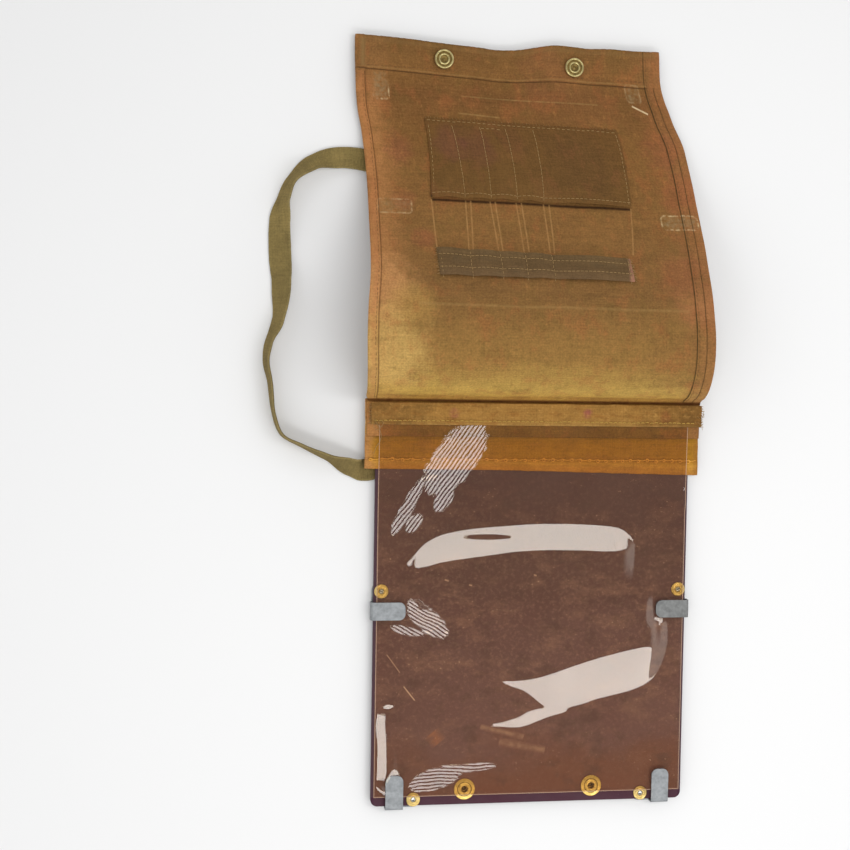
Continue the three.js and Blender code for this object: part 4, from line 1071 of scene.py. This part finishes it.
# Place and outward direction on the sleeve's cloth, v along it from the front's lower edge
def sleeveAt(v):
    if v < sleeveFrontRun:
        return v - sleeve["front"], sleeveMiddle + sleeveTurn, 0.0, 1.0
    turn = (v - sleeveFrontRun) / sleeveTurn
    if turn < math.pi:
        y, z = math.sin(turn), math.cos(turn)
        return sleeveBend + sleeveTurn * y, sleeveMiddle + sleeveTurn * z, y, z
    return sleeveBend - (v - sleeveFrontRun - math.pi * sleeveTurn), sleeveMiddle - sleeveTurn, 0.0, -1.0


# The front's lower edge was cut crooked: highest at the left
def sleeveDrop(x):
    return readTable(sleeve["drop"], 1, x)


def sleevePlace(x, v, side):
    y, z, outY, outZ = sleeveAt(v)
    edge = 0.3 * noise.noise(Vector((x / 9, 2.0, 7.0))) if v == 0 else 0.0
    edge += (sleeve["front"] - sleeveDrop(x)) * ease(12, 0, v)
    x += 0.25 * noise.noise(Vector((v / 7, x, 1.0))) * ease(118, 121,
                                                            abs(x)) - 1.1 * ease(-112, -121.5, x) * ease(60,
                                                                                                         50,
                                                                                                         v)
    wave = 0.12 * noise.noise(Vector((x / 14, v / 9, 2.5)))
    hem = 0.3 * ease(9.0, 8.2, v) - 0.3 * math.exp(-((v - 26.5) / 1.0) ** 2) if side > 0 else 0.0
    height = side * sleeve["thickness"] / 2 + wave + hem - (0.1 if side > 0 else 0.0)
    return spot(x, y + edge + outY * height, z + outZ * height)


sleeveVs = sorted(set(even(0, sleeveFrontRun, 1.6) + even(sleeveFrontRun,
                                                          sleeveFrontRun + math.pi * sleeveTurn, 0.7)
                      + even(sleeveFrontRun + math.pi * sleeveTurn, sleeveLength,
                             2.5) + [8.2, 8.6, 9.0, 25.8, 26.5, 27.2]))
sleevePiece = addSheet("sleeve_cloth", even(-121.5, 121.5, 2.4), sleeveVs, lambda x, v: sleevePlace(x, v, 1),
                       lambda x, v: sleevePlace(x, v, -1), sleeveDuck, replaces=["board_sleeve"],
                       slot="sleeve_canvas")

tape = {"width": 241, "offset": 1.5, "depth": 14, "upper": 1.5, "low": 10.5, "thickness": 1.0, "fold": 1.15,
        "under": 11}
tapeBendY = -tape["depth"] + tape["fold"]
tapeTurn = tape["fold"] - tape["thickness"] / 2
tapeUnderRun = tape["under"] - tape["fold"]
tapeLength = tapeUnderRun + math.pi * tapeTurn + tape["upper"] - tapeBendY


def tapeAt(v):
    middle = tape["low"] + tape["fold"]
    if v < tapeUnderRun:
        return tapeBendY + tapeUnderRun - v, middle - tapeTurn, 0.0, -1.0
    turn = (v - tapeUnderRun) / tapeTurn
    if turn < math.pi:
        y, z = -math.sin(turn), -math.cos(turn)
        return tapeBendY + tapeTurn * y, middle + tapeTurn * z, y, z
    return tapeBendY + (v - tapeUnderRun - math.pi * tapeTurn), middle + tapeTurn, 0.0, 1.0


def tapePlace(x, v, side):
    y, z, outY, outZ = tapeAt(v)
    share = (x - tape["offset"]) / (tape["width"] / 2)
    end = 0.5 * noise.noise(Vector((v / 1.6, share, 4.0))) if abs(share) > 0.999 else 0.0
    top = ease(14, 20, v)
    wave = (0.35 * noise.noise(Vector((x / 22, v / 14,
                                       6.5))) + 0.15 * noise.noise(Vector((x / 5, 1.0, 2.0)))) * top
    edge = 0.35 * noise.noise(Vector((x / 13, 5.0, 1.0))) * top
    height = side * tape["thickness"] / 2 + wave + 0.15 * top
    return spot(x + end, y + edge + outY * height, z + outZ * height)


tapeVs = sorted(set(even(0, tapeUnderRun, 3.0) + even(tapeUnderRun, tapeUnderRun + math.pi * tapeTurn, 0.34)
                    + even(tapeUnderRun + math.pi * tapeTurn, tapeLength, 1.0)))
tapeXs = even(tape["offset"] - tape["width"] / 2, tape["offset"] + tape["width"] / 2, 1.6)
tapePiece = addSheet("hinge_tape", tapeXs, tapeVs, lambda x, v: tapePlace(x, v, 1), lambda x,
                     v: tapePlace(x, v, -1),
                     stripDuck, replaces=["hinge_strip"], slot="strip_canvas")

# Lock stitches on the tape, and the long chain stitches that close the sleeve
tapeStitch = {"pitch": 3.4, "length": 2.5, "v": tapeUnderRun + math.pi * tapeTurn + 1.6, "bow": 0.5,
              "thread": 0.34}
tapePaths = []
for k in range(int(tape["width"] / tapeStitch["pitch"]) - 1):
    x0 = tape["offset"] - tape["width"] / 2 + 2 + k * tapeStitch["pitch"]
    drift = dice.uniform(-0.25, 0.25)
    path = []
    for part, lift in ((0.0, -0.2), (0.18, 0.22), (0.5, 0.32), (0.82, 0.22), (1.0, -0.2)):
        v = tapeStitch["v"] + drift + tapeStitch["bow"] * math.sin(math.pi * part)
        path.append(tapePlace(x0 + part * tapeStitch["length"], v, 1) + Vector((0, 0, lift * mm)))
    tapePaths.append(path)
addYarns("tape_stitches", tapePaths, tapeStitch["thread"] * mm, tapeThread)

chain = {"low": -119.5, "high": 119.0, "pitch": (7.6, 6.2), "knot": 1.15, "thread": 0.36}
chainPaths = []
x0 = chain["low"]
while x0 < chain["high"] - 4:
    step = blend(*chain["pitch"], ease(-100, 100, x0)) + dice.uniform(-0.5, 0.5)
    y = sleeve["stitchY"] + dice.uniform(-0.4, 0.4)
    nextY = sleeve["stitchY"] + dice.uniform(-0.25, 0.25)
    top = sleeve["high"] + 0.15
    chainPaths.append([spot(x0 + t * step, blend(y, nextY, t) + 0.3 * math.sin(9 * t), top + lift)
                       for t, lift in ((0.0, -0.2), (0.1, 0.15), (0.35, 0.25), (0.65, 0.2), (0.9, 0.1),
                                       (1.0, -0.2))])
    for turns, wide, tall in ((1.0, chain["knot"] * dice.uniform(0.8, 1.2), dice.uniform(0.8, 1.25)),
                              (0.6, 0.7, 0.6)):
        chainPaths.append([spot(x0 + 0.8 - wide * math.cos(2 * math.pi * turns * k / 10),
                                y - 0.25 + tall * math.sin(2 * math.pi * turns * k / 10),
                                top + 0.3 + 0.02 * k) for k in range(11)])
    x0 += step
addYarns("sleeve_chain_stitch", chainPaths, chain["thread"] * mm, goldThread)

fringe = []
for v in even(tapeUnderRun + 1.5, tapeLength - 0.3, 0.62):
    for side in (-1, 1):
        x = tape["offset"] + side * tape["width"] / 2
        start = tapePlace(x - side * 0.8, v, 1) - Vector((0, 0, 0.5 * mm))
        reach, drift = dice.uniform(0.8, 3.4) * side, dice.uniform(-1.2, 1.2)
        droop = dice.uniform(-0.8, 0.4)
        fringe.append([start, start + Vector((reach * 0.6, drift * 0.4, droop * 0.2)) * mm,
                       start + Vector((reach, drift, droop)) * mm])
for path in ([(-115, -13, 13.2), (-113.2, -17, 12.4), (-111.6, -22, 10.8), (-112.4, -26, 10.2),
              (-115.2, -30, 9.9), (-116.8, -35, 9.4)],
             [(-116, -12, 13.2), (-117.5, -15.5, 12.6), (-115.5, -18, 11.4), (-112.8, -17, 11.6),
              (-110.8, -14.5, 12.4)],
             [(-117, -10, 13.3), (-114.8, -14.4, 13.4), (-112, -15.4, 13.0), (-110.4, -12.6, 13.4),
              (-113, -10.6, 13.4)]):
    fringe.append([spot(*p) for p in path])
fringe.append([spot(*p) for p in ((119, -6, 13.0), (122.5, -9, 13.2), (124.0, -5, 11.6), (124.4, -2, 10.9))])
fringe.append([spot(*p) for p in ((119, -10, 13.0), (122.8, -13, 12.6), (123.6, -16, 11.3))])
addYarns("tape_frays", fringe, 0.2 * mm, duckThread, sides=4)
print("board, sleeve and tape made")


# Clear sheet: flat on the board, raised over the sleeve, held by the clips
cover = {"thickness": 0.5, "inset": 2, "foot": 7, "top": 5, "sleeveLevel": 8.2, "seamLevel": 9.7,
         "dent": {"x": -32.8, "half": 20, "depth": 0.7}}
# Waves of the loose sheet, each along a line from x and y at an angle. A wave has one or two
# steep faces to its left, which mirror the light, and a slow back. Rows of a face: place
# along the line, crest, width of the face and its slope in degrees.
coverWaves = [
    {"x": 0, "y": 0, "turn": 0, "back": 26, "faces": [
        [(-93, -113.5, 0.5, 9.5), (-90, -115.5, 5, 9.5), (-84, -116.5, 13, 9.5), (-78, -115.5, 17.5, 9.5),
         (-67, -112.5, 20, 9.5),
         (-46, -108.5, 20, 9.5), (-24, -105.3, 18.5, 9.5), (5, -103.9, 19, 9.5), (35, -104, 19, 9.5),
         (58, -104.8, 18, 9.5),
         (67, -103.5, 14, 9.5), (73, -100.5, 6, 9.5), (75.5, -98, 0.5, 9.5)]]},
    {"x": 0, "y": 0, "turn": 180, "back": 30, "faces": [
        [(-101, 171.5, 0.5, 9), (-98, 173.5, 12, 9), (-93, 176, 20, 9), (-87, 173.5, 28, 9),
         (-74, 175, 32, 9), (-51, 180.5, 32, 9),
         (-29, 187.5, 31, 9), (-11, 193.5, 24, 9), (4, 197, 9.5, 9), (16, 198, 4, 9), (25, 197.5, 0.5, 9)],
        [(-30, 220.5, 0.5, 9), (-11, 218.6, 7.5, 9), (0, 220, 10, 9), (8, 224.5, 7.5, 9), (20, 228.6, 3, 9),
         (33, 230.4, 0.5, 9)]]},
    {"x": -104, "y": -246, "turn": 90, "back": 7, "faces": [
        [(-31, 1, 0.5, 12), (-26, 1, 6, 12), (-15, -1, 9, 12), (0, -0.5, 8.5, 12), (20, 0.5, 8, 12),
         (29, 0.5, 6, 12), (32, 1, 0.5, 12)]]},
    {"x": 109, "y": -58, "turn": 18, "back": 5, "faces": [
        [(-5, -9, 0.5, 8), (-3, -10, 5, 8), (0, -11, 11, 8), (4, -6, 11, 8), (7, 0, 9, 8), (10, 7, 6, 8),
         (13, 13, 0.5, 8)]]},
]


def coverSwell(x, y):
    height = 0.0
    for wave in coverWaves:
        turn = math.radians(wave["turn"])
        dx, dy = x - wave["x"], y - wave["y"]
        along = dx * math.cos(turn) + dy * math.sin(turn)
        across = dy * math.cos(turn) - dx * math.sin(turn)
        crown, ridge = 0.0, None
        for rows in wave["faces"]:
            if not rows[0][0] < along < rows[-1][0]:
                continue
            crest, width, slope = (readTable(rows, column, along) for column in (1, 2, 3))
            ridge = crest if ridge is None else ridge
            drop = min(max((crest + width - across) / max(width, 0.1), 0.0), 1.0)
            crown += width * math.tan(math.radians(slope)) * drop
        if ridge is not None:
            crown *= math.exp(-(max(ridge - across, 0.0) / wave["back"]) ** 2)
        height += crown
    pressed = cover["dent"]
    dent = math.exp(-((x - pressed["x"]) / pressed["half"]) ** 2) * ease(-113.5, -98,
                                                                         y) * ease(-91.5, -96.5, y)
    drift = 0.3 * noise.noise(Vector((x / 40, y / 35, 2.0))) * ease(-281, -255, y) * ease(-30, -55, y)
    side = ease(-139.5 - 22, -139.5 - 12, y) * ease(-154.5 + 22, -154.5 + 12, y)
    side = 1 - side * ease(84, 92, abs(x))
    foot = ease(-281, -277, y)
    head = ease(-13, -19, y)
    return (height - pressed["depth"] * dent + drift) * side * foot * head * ease(114, 112.4, abs(x))


def coverLow(x, y):
    seam = (cover["seamLevel"] - cover["sleeveLevel"]) * ease(-72, -12, y)
    over = (cover["sleeveLevel"] - board["face"]) * ease(-56, -48, y)
    return board["face"] + over + seam + coverSwell(x, y)


celluloid = celluloidSheet()
coverXs = even(cover["inset"] - board["half"], board["half"] - cover["inset"], 1.6)
coverYs = even(board["foot"] + cover["foot"], -cover["top"], 1.6)
addSheet("clear_sheet", coverXs, coverYs,
         lambda x, y: spot(x, y, coverLow(x, y) + cover["thickness"]),
         lambda x, y: spot(x, y, coverLow(x, y)),
         celluloid, plump=0.1, sharp=60, backShift=0.0, replaces=["clear_cover"], slot="celluloid")
print("cover made")


# Clips: a strip bent round the board's edge, and an ear below for the rivet
clip = {"width": 12.7, "reach": 25, "stock": 1.0, "bend": 1.5, "tip": 4.5, "leg": 16, "ear": 6.5,
        "standOff": 1.3,
        "frontTop": 9.9, "backLow": 2.1, "along": 14, "hole": 2.15}
clipFrontRun = clip["reach"] - 2
clipSide = (clip["frontTop"] - 2) - (clip["backLow"] + 2)
clipArc = math.pi / 2 * clip["bend"]
clipPath = clipFrontRun + clipArc + clipSide + clipArc + clip["leg"] - 2


# Place and outward direction along the clip's strip, from the tip of its front leg
def clipAt(v):
    top, low = clip["frontTop"] - clip["stock"] / 2, clip["backLow"] + clip["stock"] / 2
    if v < clipFrontRun:
        return clip["reach"] - v, top, 0.0, 1.0
    v -= clipFrontRun
    if v < clipArc:
        turn = v / clip["bend"]
        across, up = -math.sin(turn), math.cos(turn)
        return 2 + clip["bend"] * across, top - clip["bend"] * (1 - up), across, up
    v -= clipArc
    if v < clipSide:
        return 2 - clip["bend"], top - clip["bend"] - v, -1.0, 0.0
    v -= clipSide
    if v < clipArc:
        turn = v / clip["bend"]
        across, up = -math.cos(turn), -math.sin(turn)
        return 2 + clip["bend"] * across, low + clip["bend"] * (1 + up), across, up
    return 2 + v - clipArc, low, 0.0, -1.0


def clipHalf(v):
    near = max(clip["tip"] - v, 0.0)
    return clip["width"] / 2 - clip["tip"] + math.sqrt(max(clip["tip"] ** 2 - near ** 2, 0.0)) - 0.02


def addClip(name, node, inset, earSide, x, y, turn, body, seed, plate=zincPlate):
    place = Matrix.Translation(spot(x, y)) @ Matrix.Rotation(turn, 4, "Z")

    def at(a, v, side):
        across, z, outX, outZ = clipAt(v)
        dent = 0.12 * noise.noise(Vector((v / 7, a * 1.5, seed))) * ease(0, 8,
                                                                         v) * ease(clipFrontRun,
                                                                                   clipFrontRun - 6, v)
        edge = 0.06 * noise.noise(Vector((v / 2.2, a, seed + 3)))
        height = side * clip["stock"] / 2 + dent
        return place @ (Vector((across + outX * height, a * (clipHalf(v) + edge), z + outZ * height)) * mm)

    vs = sorted(set([0.02, 0.3, 0.8, 1.5, 2.4, 3.4, 4.5] + even(4.5, clipFrontRun, 1.3)
                    + even(clipFrontRun, clipFrontRun + clipArc, 0.26)
                    + even(clipFrontRun + clipArc, clipFrontRun + clipArc + clipSide, 1.0)
                    + even(clipFrontRun + clipArc + clipSide, clipFrontRun + 2 * clipArc + clipSide, 0.26)
                    + even(clipFrontRun + 2 * clipArc + clipSide, clipPath, 2.0)))
    addSheet(name, [-1, -0.975, -0.93] + even(-0.8, 0.8, 0.2) + [0.93, 0.975, 1], vs,
                     lambda a, v: at(a, v, 1), lambda a, v: at(a, v, -1), plate,
                     plump=0.12, body=body, replaces=[node], slot="zinc_plate",
                     onCloth=lambda a, v: (a * clip["width"] / 2 * mm, v * mm))
    pivotX, pivotY = clip["standOff"] + clip["stock"] + inset, earSide * clip["along"]
    outline = [(pivotX - clip["ear"], earSide * 2), (clip["leg"] - 0.05, earSide * 2),
               (clip["leg"] - 0.05, earSide * clip["width"] / 2)]
    outline += [(pivotX + clip["ear"] * math.cos(t),
                 pivotY + earSide * clip["ear"] * math.sin(t)) for t in even(0, math.pi, 0.13)]
    hole = [(pivotX + clip["hole"] * math.cos(t), pivotY + clip["hole"] * math.sin(t))
            for t in even(0, 2 * math.pi, 0.2)[:-1]]
    curve = bpy.data.curves.new(name + "_ear", "CURVE")
    curve.dimensions, curve.fill_mode = "2D", "BOTH"
    curve.extrude, curve.offset = 0.36 * mm, -0.12 * mm
    curve.bevel_depth, curve.bevel_resolution = 0.12 * mm, 1
    for ring in (outline, hole):
        spline = curve.splines.new("POLY")
        spline.points.add(len(ring) - 1)
        for point, (px, py) in zip(spline.points, ring):
            point.co = (px * mm, py * mm, 0, 1)
        spline.use_cyclic_u = True
    shaped = bpy.data.objects.new(name + "_ear_curve", curve)
    bpy.context.scene.collection.objects.link(shaped)
    mesh = bpy.data.meshes.new_from_object(shaped.evaluated_get(bpy.context.evaluated_depsgraph_get()))
    bpy.data.objects.remove(shaped)
    mesh.transform(place @ Matrix.Translation((0, 0, (clip["backLow"] + clip["stock"] / 2) * mm)))
    mesh.materials.clear()
    mesh.materials.append(plate)
    ear = bpy.data.objects.new(name + "_ear", mesh)
    bpy.context.scene.collection.objects.link(ear)
    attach(ear, body)
    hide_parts(node)


clipOut = board["half"] + clip["standOff"] + clip["stock"]
footOut = board["foot"] - clip["standOff"] - clip["stock"]
addClip("clip_side_left", "side_clip_left", 5.5, 1, -clipOut, -147, 0, "side_clip_l", 1.0)
# the right side clip takes the darker zinc copy: painted shade
addClip("clip_side_right", "side_clip_right", 5.5, -1, clipOut, -147, math.pi, "side_clip_r", 2.0, zincShaded)
addClip("clip_foot_left", "foot_clip_left", 4.5, -1, -98.3, footOut, math.pi / 2, "foot_clip_l", 3.0)
addClip("clip_foot_right", "foot_clip_right", 4.5, 1, 98.3, footOut, math.pi / 2, "foot_clip_r", 4.0)


# Corner of a turned profile eased into a small arc
def rounded(profile, radius=0.22):
    out = [profile[0]]
    for before, here, after in zip(profile, profile[1:], profile[2:]):
        a, b, c = Vector(before), Vector(here), Vector(after)
        if here[0] == 0:
            out.append(here)
            continue
        reach = min(radius, (a - b).length * 0.4, (c - b).length * 0.4)
        start, end = b + (a - b).normalized() * reach, b + (c - b).normalized() * reach
        for t in (0.0, 0.5, 1.0):
            bent = start * (1 - t) ** 2 + b * 2 * t * (1 - t) + end * t * t
            out.append((bent.x, bent.y))
    return out + [profile[-1]]


# Rivet: head behind, shank, washer in front; radius and height pairs
rivetProfile = [(0, 0), (4.6, 0), (5.1, 0.5), (5.1, 1.8), (2, 1.8), (2, 6.7), (5.1, 6.7), (5.1, 7.0),
                (4.7, 7.35),
                (3.7, 7.4), (2.9, 7.7), (2.2, 7.7), (1.7, 7.3), (1.6, 6.8), (0, 6.75)]
for name, x, y in (("side_rivet_left", -109.5, -133), ("side_rivet_right", 109.5, -133),
                   ("foot_rivet_left", -84.3, -283.5), ("foot_rivet_right", 84.3, -283.5)):
    addTurned(name + "_brass", rounded(rivetProfile), Matrix.Translation(spot(x, y)), rivetBrass,
              replaces=[name], slot="rivet_brass")
    addTurned(name + "_eye", [(0, 6.77), (1.5, 6.83), (1.6, 7.32), (1.42, 7.4), (1.15, 7.0), (0.5, 6.9),
                              (0, 6.88)],
              Matrix.Translation(spot(x, y)), eyeletSteel, segments=28, slot="rivet_brass")

# Snap through the board: rolled eyelet and flange in front, stud behind
snapProfile = [(0, 0), (3.3, 0), (4, 0.6), (4, 1.3), (3.4, 2.1), (6.7, 2.1), (6.7, 3.1), (3.2, 3.1),
               (3.2, 6.7), (7.7, 6.7),
               (7.7, 6.9), (7.4, 7.2), (4.9, 7.2), (4.3, 7.5), (3.9, 7.7), (3.1, 7.7), (2.5, 7.5),
               (2.2, 7.1), (2.2, 3.4), (0, 3.4)]
for name, x in (("board_snap_left", -47), ("board_snap_right", 47)):
    addTurned(name + "_brass", rounded(snapProfile, 0.15), Matrix.Translation(spot(x, -277)), agedBrass,
              replaces=[name], slot="snap_brass")
    # painted shade: a dark brass disc at the bottom of the snap's hole and a dark ring in the step of its
    # flange
    addTurned(name + "_hole_shade", [(0, 3.42), (1.9, 3.42), (1.9, 3.6), (1.2, 3.66), (0.8, 4.3), (0.3, 4.6),
                               (0, 4.65)],
              Matrix.Translation(spot(x, -277)), hollowShadeBrass, segments=32, slot="snap_brass")
    addTurned(name + "_groove", [(4.75, 7.15), (4.75, 7.26), (5.35, 7.26), (5.35, 7.15)],
              Matrix.Translation(spot(x, -277)),
              hollowShadeBrass, segments=48, slot="snap_brass")

socketProfile = [(0, 2.1), (6.9, 2.1), (6.9, 3.4), (6.6, 4.0), (6.0, 4.25), (5.5, 4.05), (5.1, 3.0),
                 (4.6, 2.9), (4.2, 3.1), (3.9, 3.85),
                 (3.4, 4.0), (2.9, 3.8), (2.6, 2.7), (1.5, 2.5), (1.2, 2.9), (0, 3.0)]
capProfile = [(0, -4.5), (1.8, -4.42), (3.4, -4.2), (4.9, -3.75), (6.1, -3.1), (7.0, -2.3), (7.5, -1.6),
              (7.6, -1.2), (7.6, -0.9), (3.2, -0.9),
              (3.2, 1.8), (0, 1.8)]
for word, side in (("left", -1), ("right", 1)):
    half = flapRow(flap["snapAlong"])[0]
    x = side * flap["snapSpacing"] / 2 / half * halfFlap
    up = flapNormal(x, flap["snapAlong"])
    along = (flapMiddle(x, flap["snapAlong"] + 0.5) - flapMiddle(x, flap["snapAlong"] - 0.5)).normalized()
    right = along.cross(up).normalized()
    along = up.cross(right)
    place = Matrix((right, along, up)).transposed().to_4x4()
    place.translation = spot(*flapMiddle(x, flap["snapAlong"]))
    addTurned("socket_" + word, rounded(socketProfile, 0.15), place, paleBrass,
              replaces=["flap_socket_" + word], slot="snap_brass")
    # painted shade: dark brass rings in the socket's groove and over its centre
    for part, film in (("groove", [(4.05, 2.95), (4.05, 3.35), (5.2, 3.35), (5.2, 2.95)]),
                       ("core", [(0, 2.55), (2.62, 2.62), (2.62, 2.95), (1.4, 2.8), (0.9, 3.05), (0, 3.1)])):
        addTurned("socket_" + part + "_" + word, film, place, hollowShadeBrass, segments=40, slot="snap_brass")
    addTurned("cap_" + word, rounded(capProfile, 0.1), place, blackEnamel, replaces=["flap_cap_" + word],
              slot="black_enamel")
print("metal parts made")


# Carrying strap: webbing that turns from lying flat to standing on edge
strap = {
    "width": 15, "thickness": 1.6, "reach": 72, "run": 218, "lowerY": -47, "halfSleeve": 121.5, "endRun": 30,
    # out beyond the sleeve's side as a share of reach (of the half sleeve where negative),
    # run up from the lower crossing, turn from lying flat to standing on edge
    "route": [
        (-0.24, 0.045, 0), (-0.12, 0.02, 0), (0.0, 0.0, 0), (0.15, 0.01, 34), (0.39, 0.044, 74),
        (0.65, 0.082, 84),
        (0.83, 0.115, 86), (0.91, 0.18, 86), (0.95, 0.28, 82), (0.99, 0.352, 78), (0.965, 0.41, 74),
        (0.88, 0.48, 62),
        (0.85, 0.59, 34), (0.865, 0.695, 6), (0.872, 0.8, 24), (0.836, 0.872, 60), (0.76, 0.93, 66),
        (0.565, 0.985, 44),
        (0.31, 1.006, 14), (0.0, 1.0, 3), (-0.2, 0.968, 0), (-0.5, 0.885, 0), (-0.9, 0.76, 0),
        (-1.3, 0.615, 0),
        (-1.62, 0.46, 0), (-1.8, 0.33, 0), (-1.855, 0.22, 0),
    ],
}
strapPoints = []
for out, run, turn in strap["route"]:
    x = -strap["halfSleeve"] - (out * strap["reach"] if out > 0 else out * strap["halfSleeve"])
    strapPoints.append((Vector((x, strap["lowerY"] + run * strap["run"], 0)), turn))
lastPoint = strapPoints[-1][0]
strapPoints += [(Vector((lastPoint.x, -2, 0)), 0), (Vector((lastPoint.x, -2 - strap["endRun"], 0)), 0)]


# Point on a smooth curve through the route, spaced as the square root of each leg
def strapMiddle(station):
    leg = min(max(int(math.floor(station)), 0), len(strapPoints) - 2)
    t = station - leg
    p1, p2 = strapPoints[leg][0], strapPoints[leg + 1][0]
    p0 = strapPoints[leg - 1][0] if leg > 0 else p1 * 2 - p2
    p3 = strapPoints[leg + 2][0] if leg + 2 < len(strapPoints) else p2 * 2 - p1
    d0, d1, d2 = (math.sqrt((b - a).length) for a, b in ((p0, p1), (p1, p2), (p2, p3)))
    m1 = ((p1 - p0) / d0 - (p2 - p0) / (d0 + d1) + (p2 - p1) / d1) * d1
    m2 = ((p2 - p1) / d1 - (p3 - p1) / (d1 + d2) + (p3 - p2) / d2) * d1
    return p1 + m1 * t + (p2 * 3 - p1 * 3 - m1 * 2 - m2) * t * t + (p1 * 2 - p2 * 2 + m1 + m2) * t ** 3


def strapPlace(side, station, up):
    middle = strapMiddle(station)
    forward = strapMiddle(min(station + 0.01, len(strapPoints) - 1)) - strapMiddle(max(station - 0.01, 0))
    forward.normalize()
    leg = min(int(station), len(strapPoints) - 2)
    turn = math.radians(blend(strapPoints[leg][1], strapPoints[leg + 1][1], ease(0, 1, station - leg)))
    level = Vector((forward.y, -forward.x, 0))
    across = level * math.cos(turn) + Vector((0, 0, math.sin(turn)))
    outward = Vector((0, 0, math.cos(turn))) - level * math.sin(turn)
    lift = (strap["width"] / 2 + 0.5) * math.sin(turn) + strap["thickness"] / 2 * math.cos(turn)
    curl = 0.25 * noise.noise(Vector((station * 1.3, side, 3.0))) * math.sin(turn)
    edge = 0.15 * noise.noise(Vector((station * 6, side, 9.0))) if abs(side) == 1 else 0.0
    place = middle + Vector((0, 0, lift)) + across * (side * (strap["width"] / 2 - 0.1) + edge * side)
    return spot(*(place + outward * (up * (strap["thickness"] / 2 - 0.12 * abs(side) ** 6) + curl)))


strapStations = even(0, len(strapPoints) - 1, 0.1)
strapSides = [-1, -0.93, -0.75, -0.5, -0.25, 0, 0.25, 0.5, 0.75, 0.93, 1]
strapRun, runs = 0.0, {}
for a, b in zip([strapStations[0]] + strapStations, strapStations):
    strapRun += (strapMiddle(b) - strapMiddle(a)).length
    runs[b] = strapRun
addSheet("strap_webbing", strapSides, strapStations, lambda a, v: strapPlace(a, v, 1), lambda a,
         v: strapPlace(a, v, -1),
         webbingWeave, onCloth=lambda a, v: ((a + 1) * 7.5 * mm, runs[v] * mm), replaces=["carrying_strap"],
         slot="webbing")
print("strap length", round(strapRun), "mm")

bpy.context.view_layer.update()
